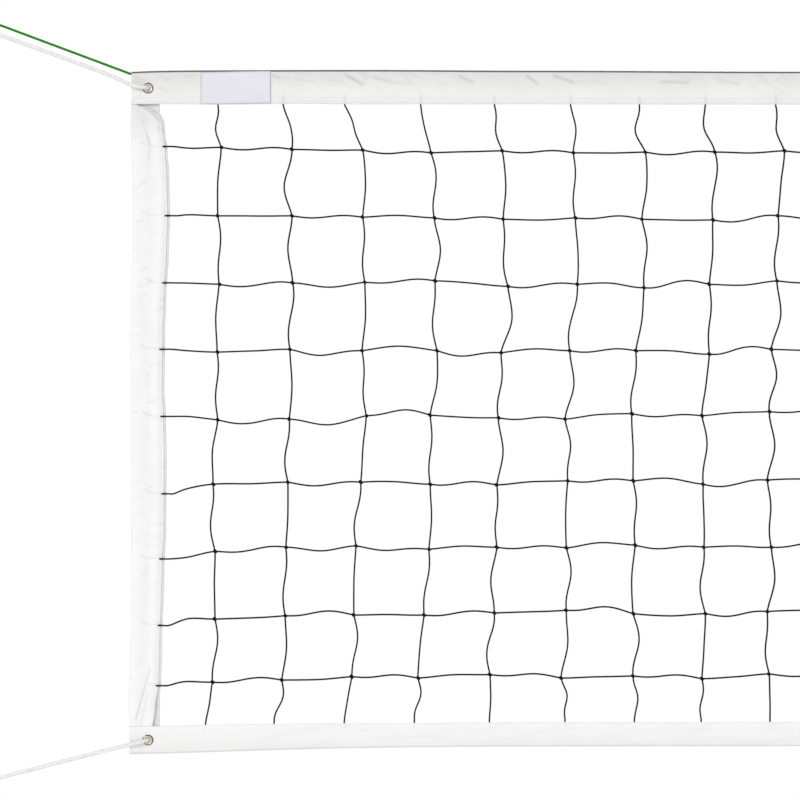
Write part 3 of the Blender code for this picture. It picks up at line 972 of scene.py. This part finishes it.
def crease(x, down, seed, slant, long, wide):
    """0 on smooth cloth, up to 1 along the crest of a long, slanting crease."""
    along = (x * math.cos(slant) + down * math.sin(slant)) / long
    across = (down * math.cos(slant) - x * math.sin(slant)) / wide
    crest = 1.0 - min(1.0, abs(noise.noise(Vector((along, across, seed)))) / 0.33)
    return crest * ease(noise.noise(Vector((x * 9.0, down * 22.0, seed + 2.5))), -0.25, 0.35)


# Creases below the fold in the part in view: how far along and how far down each one
# starts and ends, and how deep it is
TOP_CREASES = [
    (-4.708, 0.002, -4.695, 0.010, 0.5),
    (-4.709, 0.022, -4.698, 0.027, 0.5),
    (-4.698, 0.027, -4.686, 0.027, 0.3),
    (-4.672, 0.004, -4.652, 0.001, 0.5),
    (-4.545, 0.001, -4.535, 0.006, 0.8),
    (-4.535, 0.006, -4.520, 0.008, 0.5),
    (-4.510, 0.009, -4.480, 0.012, 0.4),
    (-4.470, 0.009, -4.440, 0.012, 0.4),
    (-4.438, 0.001, -4.411, 0.016, 1.0),
    (-4.395, 0.005, -4.367, 0.013, 0.7),
    (-4.367, 0.013, -4.343, 0.015, 0.5),
    (-4.270, 0.003, -4.250, 0.013, 0.8),
    (-4.207, 0.020, -4.165, 0.021, 0.3),
    (-4.171, 0.003, -4.155, 0.015, 0.9),
    (-4.132, 0.003, -4.103, 0.013, 0.9),
    (-4.097, 0.011, -4.050, 0.015, 0.4),
    (-3.974, 0.012, -3.935, 0.013, 0.8),
    (-3.945, 0.003, -3.928, 0.008, 0.4),
    (-3.886, 0.012, -3.860, 0.015, 0.6),
    (-3.807, 0.021, -3.797, 0.028, 0.4),
]


def near_crease(creases, along, across, width):
    """How deep the nearest of some creases presses a place, from 0 to 1."""
    depth = 0.0
    for first_along, first, last_along, last, deep in creases:
        run = Vector((last_along - first_along, last - first))
        off = Vector((along - first_along, across - first))
        share = min(1.0, max(0.0, off.dot(run) / run.length_squared))
        away = (off - run * share).length
        if away < 3 * width:
            depth = max(depth, deep * math.exp(-((away / width) ** 2)))
    return depth


CREASE_CELL = 0.05
crease_luck = random.Random(5)
top_creases = {}
for crease_line in TOP_CREASES:
    top_creases.setdefault((True, round(crease_line[0] / CREASE_CELL)), []).append(crease_line)
for front, spot in ((True, -3.76), (False, -4.70)):
    while spot < 4.68:
        down, length = crease_luck.uniform(0.001, 0.012), crease_luck.uniform(0.014, 0.028)
        slant = crease_luck.uniform(0.0, 0.6)
        end = (spot + length * math.cos(slant), down + length * math.sin(slant))
        crease_line = (spot, down, *end, crease_luck.uniform(0.3, 0.9))
        top_creases.setdefault((front, round(spot / CREASE_CELL)), []).append(crease_line)
        spot += crease_luck.uniform(0.035, 0.095)


def top_crease(x, down, front):
    cell = round(x / CREASE_CELL)
    near = [line for i in (-1, 0, 1) for line in top_creases.get((front, cell + i), [])]
    return near_crease(near, x, down, 0.0026)


def quiet(x, z, height):
    """0 where an eyelet presses the cloth flat, 1 away from it."""
    return ease(math.hypot(abs(x) - EYELET_X, z - height), 0.009, 0.024)


def over_string(x, ends):
    """1 over the end of an upright that runs up inside the band, 0 away from it."""
    i = min(max(round((x + FIRST_COLUMN) / column_pitch), 0), COLUMNS - 1)
    near = min(abs(x - end) for end in ends[max(i - 1, 0) : i + 2])
    return math.exp(-((near / 0.0020) ** 2))


def fold_over(across, ply, bend):
    """Where a folded tape runs, front to back and up, and which way it faces."""
    if across < ply:
        return -bend, across - ply, Vector((0.0, -1.0, 0.0))
    if across > ply + math.pi * bend:
        return bend, ply + math.pi * bend - across, Vector((0.0, 1.0, 0.0))
    angle = (across - ply) / bend
    out = Vector((0.0, -math.cos(angle), math.sin(angle)))
    return out.y * bend, out.z * bend, out


def top_cloth(x, across, proud=0.0):
    """A place on the top band: along it, across it from its front lower edge, and off it."""
    y, z, out = fold_over(across, TOP_PLY, TOP_BEND)
    front = y < 0
    down = max(-z, 0.0)
    seed = 1.0 if front else 21.0
    flat = quiet(x, z, TIES["top"]["height"])
    if front:
        flat *= 1.0 - 0.75 * ease(x, -4.675, -4.650) * (1.0 - ease(x, -4.545, -4.520))
    upper = 0.25 + 0.75 * ease(TOP_PLY - down, 0.012, 0.030)
    swell = crease(x, down, seed, 0.45, 0.060, 0.016) * 0.0007
    swell += 0.0011 * noise.noise(Vector((x * 7.0, down * 30.0, seed + 9))) + 0.0006
    swell += 0.0008 - 0.0011 * top_crease(x, down, front)
    swell *= upper * ease(down, 0.0005, 0.005)
    swell += 0.0008 * over_string(x, heads) * ease(TOP_PLY - down, 0.020, 0.004)
    edge = noise.noise(Vector((x * 9.0, seed, 8.0))) * 0.0007 * ease(down, 0.02, TOP_PLY)
    if not front:
        edge += 0.0010 * ease(down, 0.02, TOP_PLY)
    lift = 0.0020 * (1.0 - math.exp(-max(HALF_LENGTH - abs(x) - 0.004, 0.0) / 0.035))
    lift += 0.0006 * noise.noise(Vector((x * 4.3, 3.7, 0.5)))
    lift += 0.0007 - 0.0017 * ease(x, -4.35, -3.85)
    place = Vector((x, y, z + edge)) + out * (swell * flat + 0.0002 + proud)
    place.z += lift * (1.0 - 0.8 * down / TOP_PLY)
    return place


def lay_cloth(name, stations, breadths, place, material, thickness, holes=()):
    """A flat cut of cloth, put in its place, with round holes under the eyelets."""
    bm = bmesh.new()
    uv_map = bm.loops.layers.uv.new("UVMap")
    columns, lines = len(stations) - 1, len(breadths) - 1
    bmesh.ops.create_grid(bm, x_segments=columns, y_segments=lines, size=0.5)
    spots = {}
    for vert in bm.verts:
        i = round((vert.co.x + 0.5) * columns)
        j = round((vert.co.y + 0.5) * lines)
        spots[vert] = (stations[i], breadths[j])
    for face in bm.faces:
        for corner in face.loops:
            corner[uv_map].uv = spots[corner.vert]
    for vert, spot in spots.items():
        vert.co = place(*spot)
    for x, z in holes:
        cut = []
        for face in bm.faces:
            middle = face.calc_center_median()
            if math.hypot(middle.x - x, middle.z - z) < EYELET_HOLE:
                cut.append(face)
        bmesh.ops.delete(bm, geom=cut, context="FACES")
        for vert in bm.verts:
            away = Vector((vert.co.x - x, vert.co.z - z))
            if vert.is_boundary and away.length < HOLE_RIM:
                away = away.normalized() * EYELET_HOLE
                vert.co.x, vert.co.z = x + away.x, z + away.y
    cloth = new_piece(name, mesh_from(bm, name), material)
    wall = cloth.modifiers.new("Cloth thickness", "SOLIDIFY")
    wall.thickness = thickness
    wall.offset = 0.0
    return cloth


def mark_cloth(cloth, depth):
    """Keeps, at each vertex, how much the cloth's colour is darkened there: painted shade in
    creases and shaded strips, and twine showing through.
    """
    marks = cloth.data.attributes.new("crease", "FLOAT", "POINT")
    for vert, mark in zip(cloth.data.vertices, marks.data):
        mark.value = depth(vert.co)


def tape_stations(ends):
    """Close together at the eyelets, over the uprights' ends and in the part in view."""
    corner, view_end = 4.69, -3.72
    spots = even(-HALF_LENGTH, -corner, 0.0022)[:-1] + even(-corner, view_end, 0.0025)[:-1]
    spots += even(view_end, corner, 0.0125)[:-1] + even(corner, HALF_LENGTH, 0.0022)
    for end in ends:
        if end > view_end:
            spots = [spot for spot in spots if abs(spot - end) > 0.0050]
            spots += [end + off for off in (-0.0036, -0.0016, 0.0, 0.0016, 0.0036)]
    return sorted(spots)


def tape_breadths(ply, bend):
    arc_length = math.pi * bend
    front = even(0.0, ply, 0.0025)
    over = even(ply, ply + arc_length, arc_length / 6)
    back = even(ply + arc_length, 2 * ply + arc_length, 0.0060)
    return front + over[1:] + back[1:]


def along_cloth(shader, axis):
    """How far along or across its flat cut a place on a cloth is, from its UV map."""
    where = add_node(shader, "TexCoord").outputs["UV"]
    return add_node(shader, "SeparateXYZ", {0: where}).outputs[axis]


def apart(shader, value, middle):
    """How far a value is from its middle, either way."""
    return work_out(shader, "ABSOLUTE", work_out(shader, "SUBTRACT", value, middle))


def crumpled_weave(shader, pitch, stretch, slant, height, calm=None):
    """Bump from a fine plain weave over small creases, on a UV map in metres.

    The creases fade out across the cloth, between two distances from a line along it.
    It gives the creases and the patches that they come in, from 0 to 1.
    """
    where = add_node(shader, "TexCoord").outputs["UV"]
    wave = {"Vector": where, "Scale": ONE_WAVE / pitch, "Distortion": 0.0}
    threads = [
        add_node(shader, "TexWave", wave, bands_direction=axis).outputs["Fac"] for axis in "XY"
    ]
    weave = work_out(shader, "MULTIPLY", *threads)
    turn = {"Vector": where, "Angle": slant}
    turned = add_node(shader, "VectorRotate", turn, rotation_type="Z_AXIS").outputs[0]
    placed = add_node(shader, "Mapping", {"Vector": turned, "Scale": (*stretch, 1.0)}).outputs[0]
    folds = {"Vector": placed, "Scale": 1.0, "Detail": 2.0, "Roughness": 0.4}
    crests = change(shader, add_node(shader, "TexNoise", folds).outputs["Fac"], 0.50, 0.68)
    patches = add_node(shader, "TexNoise", {"Vector": where, "Scale": 17.0, "Detail": 2.0})
    patches = patches.outputs["Fac"]
    patchy = change(shader, patches, 0.38, 0.60, 0.25, 1.0, "LINEAR")
    creases = work_out(shader, "MULTIPLY", crests, patchy)
    if calm:
        middle, near, far = calm
        away = apart(shader, along_cloth(shader, "Y"), middle)
        creases = work_out(shader, "MULTIPLY", creases, change(shader, away, near, far, 1.0, 0.1))
    first = add_bump(shader, creases, 1.0, height)
    add_bump(shader, weave, 0.5, WEAVE_DEPTH, under=first)
    return creases, patches


def cloth_tones(shader, creases, patches, dark, light, crease_shade):
    """Uneven white: two tones in patches, and a third, darker one down in the creases as painted
    shade.
    """
    share = change(shader, patches, 0.35, 0.65, how="LINEAR")
    base = blend_colours(shader, share, dark, light)
    return blend_colours(shader, creases, base, crease_shade)


def tint(shader, colour, share, low, high):
    """A colour multiplied by one that goes from one tone to another with a share."""
    tone = blend_colours(shader, share, low, high)
    return blend_colours(shader, 1.0, colour, tone, "MULTIPLY")


def shade_and_show_through_colour(shader, colour, darkest):
    """Darkens a colour where the cloth is marked: painted shade in creases and shaded strips, and
    twine showing through the tape.
    """
    marked = add_node(shader, "Attribute", attribute_name="crease").outputs["Fac"]
    dark = (darkest, darkest, darkest * 0.99)
    return tint(shader, colour, change(shader, marked, 0.0, 1.0), WHITE, dark)


band_cloth, band_shader = new_material("White coated tape", (0.84, 0.84, 0.83), 0.5)
middle = TOP_PLY + TOP_ARC / 2
creases, patches = crumpled_weave(
    band_shader, 0.0007, (34.0, 110.0), math.radians(26), 0.0007, (middle, 0.014, 0.034)
)
# The third tone is painted shade down in the creases
toned = cloth_tones(
    band_shader, creases, patches, (0.80, 0.797, 0.78), (0.838, 0.836, 0.824), (0.78, 0.78, 0.77)
)
from_fold = apart(band_shader, along_cloth(band_shader, "Y"), middle)
# Painted shade: darker towards the fold, where the band turns away from the light
painted_shading = change(band_shader, from_fold, 0.002, 0.036)
toned = tint(band_shader, toned, painted_shading, (0.885, 0.885, 0.875), WHITE)
# Darker in broken lines along each seam
for seam in TOP_SEAMS:
    off_seam = apart(band_shader, from_fold, middle - seam)
    near_seam = change(band_shader, off_seam, 0.0002, 0.0010, 1.0, 0.0)
    seam_patches = change(band_shader, patches, 0.42, 0.58, 0.1, 1.0)
    beside = work_out(band_shader, "MULTIPLY", near_seam, seam_patches)
    toned = tint(band_shader, toned, beside, WHITE, (0.93, 0.93, 0.925))
# Painted shade in the marked creases, and the twine showing through over the uprights' ends
toned = shade_and_show_through_colour(band_shader, toned, 0.80)
stripe = change(band_shader, from_fold, TOP_ARC / 2 - 0.0002, TOP_ARC / 2 + 0.0004, 1.0, 0.0)
toned = blend_colours(band_shader, stripe, toned, (0.12, 0.12, 0.118))
fill(band_shader, {"Base Color": toned})

top_band = lay_cloth(
    "top_band_cloth",
    tape_stations(heads),
    tape_breadths(TOP_PLY, TOP_BEND),
    top_cloth,
    band_cloth,
    CLOTH,
    [(side * EYELET_X, TIES["top"]["height"]) for side in SIDES.values()],
)
# Marks painted shade down in the creases below the fold, and twine showing through over the
# uprights' ends
mark_cloth(
    top_band,
    lambda spot: max(
        top_crease(spot.x, -spot.z, spot.y < 0) * ease(-spot.z, 0.0, 0.003),
        0.75 * over_string(spot.x, heads) * ease(-spot.z, 0.024, 0.036),
    ),
)
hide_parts("top_band")


# ------------------------------------------------------------ the bottom band
# The same tape, narrower, folded under the mesh's foot line. The tie cords hold its
# corners down and out, and between them it hangs a little higher.
BOTTOM_FOLD = -0.9951
BOTTOM_PLY = 0.0385
BOTTOM_BEND = 0.0018
BOTTOM_ARC = math.pi * BOTTOM_BEND


def bottom_cloth(x, across, proud=0.0):
    """A place on the bottom band: along it, across it from its front upper edge, and off it."""
    y, z, out = fold_over(across, BOTTOM_PLY, BOTTOM_BEND)
    z, out.z = -z, -out.z
    # The tape is a little narrower where the cords do not stretch it
    z *= 1.0 - 0.12 * ease(HALF_LENGTH - abs(x), 0.08, 0.40)
    up = max(z, 0.0)
    seed = 41.0 if y < 0 else 61.0
    flat = quiet(x, BOTTOM_FOLD + z, TIES["bottom"]["height"])
    swell = crease(x, up, seed, 0.10, 0.120, 0.018) * 0.0007 + 0.0003
    swell += 0.0009 * noise.noise(Vector((x * 6.0, up * 25.0, seed + 9)))
    swell *= ease(up, 0.0005, 0.005)
    swell += 0.0004 * over_string(x, feet) * ease(up, 0.018, 0.034)
    room = 0.0007 * ease(abs(x), 4.67, 4.71) * ease(up, 0.020, 0.034)
    edge = noise.noise(Vector((x * 8.0, seed, 8.0))) * 0.0006 * ease(up, 0.02, BOTTOM_PLY)
    if y > 0:
        edge -= 0.0010 * ease(up, 0.02, BOTTOM_PLY)
    pulled = math.copysign(0.0032 * ease(abs(x), 4.60, 4.745), x)
    place = Vector((x + pulled, y, BOTTOM_FOLD + z + edge))
    place += out * (max(swell, 0.0) * flat + room + proud)
    place.z += bottom_rise(x)
    return place


low_cloth, low_shader = new_material("White coated tape, bottom", (0.86, 0.86, 0.86), 0.5)
creases, patches = crumpled_weave(low_shader, 0.0007, (16.0, 75.0), math.radians(6), 0.0006)
# The third tone is painted shade down in the creases
toned = cloth_tones(
    low_shader, creases, patches, (0.84, 0.84, 0.835), (0.865, 0.865, 0.863), (0.83, 0.83, 0.83)
)
from_fold = apart(low_shader, along_cloth(low_shader, "Y"), BOTTOM_PLY + BOTTOM_ARC / 2)
# Painted shade: darker towards the fold and darkest on the fold itself, and a painted highlight
# along the raised raw edge
for start, stop, low, high in (
    (0.004, 0.026, (0.955, 0.955, 0.955), WHITE),
    (0.0024, 0.0040, (0.85, 0.85, 0.845), WHITE),
    (0.030, 0.040, WHITE, (1.035, 1.035, 1.035)),
):
    toned = tint(low_shader, toned, change(low_shader, from_fold, start, stop), low, high)
fill(low_shader, {"Base Color": shade_and_show_through_colour(low_shader, toned, 0.88)})

bottom_band = lay_cloth(
    "bottom_band_cloth",
    tape_stations(feet),
    tape_breadths(BOTTOM_PLY, BOTTOM_BEND),
    bottom_cloth,
    low_cloth,
    CLOTH,
    [(side * EYELET_X, TIES["bottom"]["height"]) for side in SIDES.values()],
)
mark_cloth(
    bottom_band,
    lambda spot: 0.5
    * over_string(spot.x, feet)
    * ease(spot.z - BOTTOM_FOLD - bottom_rise(spot.x), 0.018, 0.028),
)
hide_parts("bottom_band")


# ------------------------------------------------------------- the side bands
# A softer white tape, folded round the mesh's edge upright as a sleeve. Its ends
# are gathered flat and tucked up between the plies of the top and bottom bands.
SIDE_BEND = 0.00305
SIDE_PINCH = 0.0017
SIDE_FLAT = 0.0016
SIDE_TURN = 0.045
SIDE_MIDDLE = 0.00125
SIDE_TOP = -0.0393
SIDE_FOOT = -0.9605
SIDE_CUT = 0.0990
OUTER_EDGE = [
    (-0.039, -0.0005),
    (-0.070, -0.0005),
    (-0.105, 0.0010),
    (-0.170, 0.0026),
    (-0.260, 0.0026),
    (-0.320, -0.0002),
    (-0.800, 0.0002),
    (-0.860, -0.0024),
    (-0.930, -0.0034),
    (-0.961, -0.0024),
]
# Creases pulled into the cloth: how far in and how high each one starts and ends, and
# how deep it is
PULLED = [
    (0.0080, -0.0462, 0.0190, -0.0500, 0.8),
    (0.0190, -0.0500, 0.0270, -0.0550, 1.0),
    (0.0270, -0.0550, 0.0360, -0.0625, 1.0),
    (0.0360, -0.0625, 0.0410, -0.0700, 0.8),
    (0.0155, -0.068, 0.0225, -0.089, 0.5),
    (0.0225, -0.089, 0.0270, -0.105, 0.9),
    (0.0270, -0.105, 0.0248, -0.126, 0.6),
    (0.0248, -0.126, 0.0235, -0.158, 0.3),
    (0.0110, -0.164, 0.0220, -0.158, 0.5),
    (0.0190, -0.600, 0.0300, -0.606, 0.4),
    (0.0270, -0.872, 0.0180, -0.903, 0.6),
    (0.0180, -0.903, 0.0060, -0.946, 0.8),
    (0.0250, -0.905, 0.0120, -0.958, 0.4),
]
for row in range(ROWS):
    level = FIRST_ROW - row_pitch * row + row_sways[row][0]
    start = 0.0130 + 0.004 * (row % 3)
    PULLED.append((start, level + 0.006, start + 0.008, level + 0.0015, 0.6))
    PULLED.append((start + 0.008, level + 0.0015, 0.0420, level + 0.0005, 0.45))


def pulled_near(z):
    return [line for line in PULLED if line[3] - 0.008 < z < line[1] + 0.008]


def side_cloth(side):
    """The map that puts one side band's flat cut in its place."""

    def place(down, across, proud=0.0):
        z = -down
        outer = read_edge(OUTER_EDGE, z)
        front = read_edge(FRONT_EDGE, z)
        slack = min(ease(SIDE_TOP - z, 0.004, 0.045), ease(z - SIDE_FOOT, 0.004, 0.040))
        half = SIDE_FLAT + (SIDE_BEND - SIDE_FLAT) * slack
        pinch = SIDE_FLAT + (SIDE_PINCH - SIDE_FLAT) * slack
        share = across / SIDE_CUT
        if abs(share - 0.5) > SIDE_TURN:
            inner = front if share < 0.5 else max(front + 0.0034, 0.0408)
            flat_share = (share if share < 0.5 else 1.0 - share) / (0.5 - SIDE_TURN)
            inward = inner + (outer + half - inner) * flat_share
            if share < 0.5:
                depth = pinch + (half - pinch) * ease(front - inward, 0.001, 0.010)
                out = Vector((0.0, -1.0, 0.0))
            else:
                # The back ply is drawn up to the front one at their edges, but not at the
                # corners, where the edge upright lies between them
                drawn = ease(front, 0.031, 0.040)
                close = half + 0.0003 + (0.0004 - pinch - half) * drawn
                depth = close + (half - close) * ease(front - inward, 0.0005, 0.0055)
                out = Vector((0.0, 1.0, 0.0))
        else:
            angle = math.pi * (share - 0.5 + SIDE_TURN) / (2 * SIDE_TURN)
            inward, depth = outer + half - half * math.sin(angle), half
            out = Vector((side * math.sin(angle), -math.cos(angle), 0.0))
        y = SIDE_MIDDLE * slack + depth * out.y
        seed = (80.0 if out.y < 0 else 95.0) + 5 * side
        wander = z * 2.0 + 1.2 * math.sin(z * 5.0)
        swell = 0.0009 * noise.noise(Vector((inward * 80.0 + wander, z * 6.0, seed)))
        swell += 0.0003 * noise.noise(Vector((inward * 60.0, z * 110.0, seed + 9)))
        swell += 0.0004 * (1.0 - ease(inward, 0.009, 0.020)) + 0.0009
        swell -= 0.0010 * near_crease(pulled_near(z), inward, z, 0.0022)
        swell = min(max(swell, 0.0), 0.0010) * (0.12 + 0.88 * slack)
        if share > 0.5:
            swell *= ease(front - inward, 0.0, 0.006)
        else:
            swell *= 0.30 + 0.70 * ease(front - inward, 0.0, 0.007)
        return Vector((side * (HALF_LENGTH - inward), y, z)) + out * (swell + proud)

    return place


soft_cloth, soft_shader = new_material("Soft white tape", (0.87, 0.87, 0.88), 0.6)
creases, patches = crumpled_weave(soft_shader, 0.0005, (85.0, 40.0), 0.15, 0.0008)
# The third of these whites is painted shade down in the creases
whites = ((0.863, 0.863, 0.871), (0.887, 0.887, 0.891), (0.853, 0.853, 0.860))
toned = cloth_tones(soft_shader, creases, patches, *whites)
# Painted shade at the top end, under the top band
top_end_shade = change(soft_shader, along_cloth(soft_shader, "X"), 0.055, 0.110)
toned = tint(soft_shader, toned, top_end_shade, (0.88, 0.88, 0.88), WHITE)
# Painted highlight on the outer fold, which faces the key light, and lighter again towards the cut
# edges
from_edge = apart(soft_shader, along_cloth(soft_shader, "Y"), SIDE_CUT / 2)
past_fold_highlight = change(soft_shader, from_edge, 0.009, 0.020)
inner = blend_colours(soft_shader, past_fold_highlight, WHITE, (0.975, 0.975, 0.978))
toward_cut_edges = change(soft_shader, from_edge, 0.024, 0.036)
toned = tint(soft_shader, toned, toward_cut_edges, inner, (1.01, 1.01, 1.01))
# Painted shade in the marked creases, and a painted shadow on the back ply's strip
fill(soft_shader, {"Base Color": shade_and_show_through_colour(soft_shader, toned, 0.80), "Sheen Weight": 0.1})


def sleeve_mark(spot):
    """Painted shade in the creases, and a painted shadow on the strip where the back ply stands out
    by itself beyond the front one.
    """
    inward = HALF_LENGTH - abs(spot.x)
    strip_shadow = ease(inward - read_edge(FRONT_EDGE, spot.z), 0.0, 0.0012)
    strip_shadow *= 0.62 * ease(SIDE_TOP - spot.z, 0.022, 0.045)
    return max(strip_shadow, near_crease(pulled_near(spot.z), inward, spot.z, 0.0021))


side_bands = {}
for word, side in SIDES.items():
    sleeve = lay_cloth(
        f"side_band_{word}_cloth",
        even(-SIDE_TOP, -SIDE_FOOT, 0.0023),
        even(0.0, SIDE_CUT, SIDE_CUT / 54),
        side_cloth(side),
        soft_cloth,
        CLOTH,
    )
    mark_cloth(sleeve, sleeve_mark)
    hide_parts(f"side_band_{word}")
    side_bands[word] = sleeve


# ------------------------------------------------------------- the label patch
# A bare woven patch of pale lilac satin with a darker border, sewn on the front of
# the top band.
LABEL_START = -4.6486
LABEL_LENGTH = 0.1027
LABEL_HEIGHT = 0.0452
LABEL_TILT = 0.012
LABEL_THICKNESS = 0.0004


def label_cloth(along, across, proud=0.0):
    tilted = across + 0.0006 + (along - LABEL_LENGTH / 2) * LABEL_TILT
    off = CLOTH / 2 + LABEL_THICKNESS / 2 + 0.0001
    return top_cloth(LABEL_START + along, tilted, off + proud)


satin, satin_shader = new_material("Lilac satin", (0.71, 0.715, 0.75), 0.45)
creases, patches = crumpled_weave(satin_shader, 0.00035, (22.0, 60.0), math.radians(34), 0.0005)
# The third of these lilacs is painted shade down in the creases
lilacs = ((0.74, 0.732, 0.783), (0.77, 0.764, 0.81), (0.73, 0.722, 0.773))
toned = cloth_tones(satin_shader, creases, patches, *lilacs)
borders = []
for axis, size in (("X", LABEL_LENGTH), ("Y", LABEL_HEIGHT)):
    off_middle = apart(satin_shader, along_cloth(satin_shader, axis), size / 2)
    borders.append(change(satin_shader, off_middle, size / 2 - 0.0014, size / 2 - 0.0009))
border = work_out(satin_shader, "MAXIMUM", *borders)
toned = blend_colours(satin_shader, border, toned, (0.56, 0.555, 0.60))
fill(satin_shader, {"Base Color": toned})

label = lay_cloth(
    "label_patch_cloth",
    even(0.0, LABEL_LENGTH, 0.0025),
    even(0.0, LABEL_HEIGHT, 0.0022),
    label_cloth,
    satin,
    LABEL_THICKNESS,
)
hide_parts("label_patch")
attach(label, "net")


# --------------------------------------------------------------- the stitching
# White lockstitch, one thread lying on each face: two lines above the top band's
# lower edge, one on the bottom band, one down each side band, one round the patch.
STITCH = 0.0032
STITCH_PITCH = 0.0040
STITCH_WIDTH = 0.0005
STITCH_HEIGHT = 0.0003
STITCH_OFF = CLOTH / 2 + 0.0001
# How far each seam stands in from its edge, where it starts, and how long it is
BOTTOM_SEAM = 0.0035
LABEL_SEAM = 0.0025
SIDE_SEAM, SIDE_SEAM_START, SIDE_SEAM_LENGTH = 0.0045, 0.049, 0.902
TAPE_MARGIN = 0.002

thread, thread_shader = new_material("White thread", (0.84, 0.84, 0.83), 0.6)
speckle(thread_shader, (0.78, 0.78, 0.765), (0.88, 0.88, 0.875), 700.0)


def stitch_line(length, place):
    """A line of stitches, laid by a map from how far along, aside and off it each point is."""
    bm = bmesh.new()
    bmesh.ops.create_uvsphere(bm, u_segments=4, v_segments=2, radius=1.0)
    lengthways = Matrix.Rotation(math.pi / 2, 3, "Y")
    bmesh.ops.rotate(bm, cent=(0, 0, 0), matrix=lengthways, verts=bm.verts)
    bmesh.ops.scale(bm, vec=(STITCH / 2, STITCH_WIDTH / 2, STITCH_HEIGHT), verts=bm.verts)
    bmesh.ops.translate(bm, vec=(STITCH_PITCH / 2, 0, 0), verts=bm.verts)
    one = new_piece("stitch", mesh_from(bm, "stitch"))
    many = one.modifiers.new("Stitches", "ARRAY")
    many.use_relative_offset = False
    many.use_constant_offset = True
    many.constant_offset_displace = (STITCH_PITCH, 0, 0)
    many.count = int(length / STITCH_PITCH)
    bpy.context.view_layer.update()
    graph = bpy.context.evaluated_depsgraph_get()
    line = bpy.data.meshes.new_from_object(one.evaluated_get(graph))
    bpy.data.objects.remove(one)
    for vert in line.vertices:
        vert.co = place(*vert.co)
    return line


def sewn(name, lines, slot):
    """One piece of several lines of stitches."""
    bm = bmesh.new()
    for line in lines:
        bm.from_mesh(line)
        bpy.data.meshes.remove(line)
    bmesh.ops.recalc_face_normals(bm, faces=bm.faces)
    seam = new_piece(name, mesh_from(bm, name), thread)
    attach(seam, "net")
    return seam


def run_along(cloth, start, at):
    """Stitches that run along a cloth, a fixed way across it."""
    return lambda along, aside, off: cloth(start + along, at + aside, STITCH_OFF + off)


def run_across(cloth, start, at):
    """Stitches that run across a cloth, a fixed way along it."""
    return lambda along, aside, off: cloth(at + aside, start + along, STITCH_OFF + off)


top_width = 2 * TOP_PLY + TOP_ARC
bottom_width = 2 * BOTTOM_PLY + BOTTOM_ARC
tape_length = 2 * (HALF_LENGTH - TAPE_MARGIN)
tape_start = TAPE_MARGIN - HALF_LENGTH
seams = {
    "top_band": [
        stitch_line(tape_length, run_along(top_cloth, tape_start, at))
        for at in (*TOP_SEAMS, *(top_width - seam for seam in reversed(TOP_SEAMS)))
    ],
    "bottom_band": [
        stitch_line(tape_length, run_along(bottom_cloth, tape_start, at))
        for at in (BOTTOM_SEAM, bottom_width - BOTTOM_SEAM)
    ],
    "label_patch": [
        stitch_line(LABEL_LENGTH - 2 * LABEL_SEAM, run_along(label_cloth, LABEL_SEAM, at))
        for at in (LABEL_SEAM, LABEL_HEIGHT - LABEL_SEAM)
    ]
    + [
        stitch_line(LABEL_HEIGHT - 2 * LABEL_SEAM, run_across(label_cloth, LABEL_SEAM, at))
        for at in (LABEL_SEAM, LABEL_LENGTH - LABEL_SEAM)
    ],
}
for word, side in SIDES.items():
    seams[f"side_band_{word}"] = [
        stitch_line(SIDE_SEAM_LENGTH, run_along(side_cloth(side), SIDE_SEAM_START, at))
        for at in (SIDE_SEAM, SIDE_CUT - SIDE_SEAM)
    ]

flat_cuts = {
    "top_band": (top_band, top_width, 2 * HALF_LENGTH, "top_cable", "band"),
    "bottom_band": (bottom_band, bottom_width, 2 * HALF_LENGTH, "net_uprights", "band"),
    "label_patch": (label, LABEL_HEIGHT, LABEL_LENGTH, "top_band_cloth", "label"),
}
for word, sleeve in side_bands.items():
    size = (SIDE_CUT, SIDE_TOP - SIDE_FOOT)
    flat_cuts[f"side_band_{word}"] = (sleeve, *size, "net_uprights", "side_band")
for name, (cloth, width, length, under, slot) in flat_cuts.items():
    seam = sewn(f"{name}_stitches", seams[name], slot)
    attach(cloth, "net")


low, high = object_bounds()
sizes = {"cad": [list(cad_low), list(cad_high)], "visual": [list(low), list(high)]}
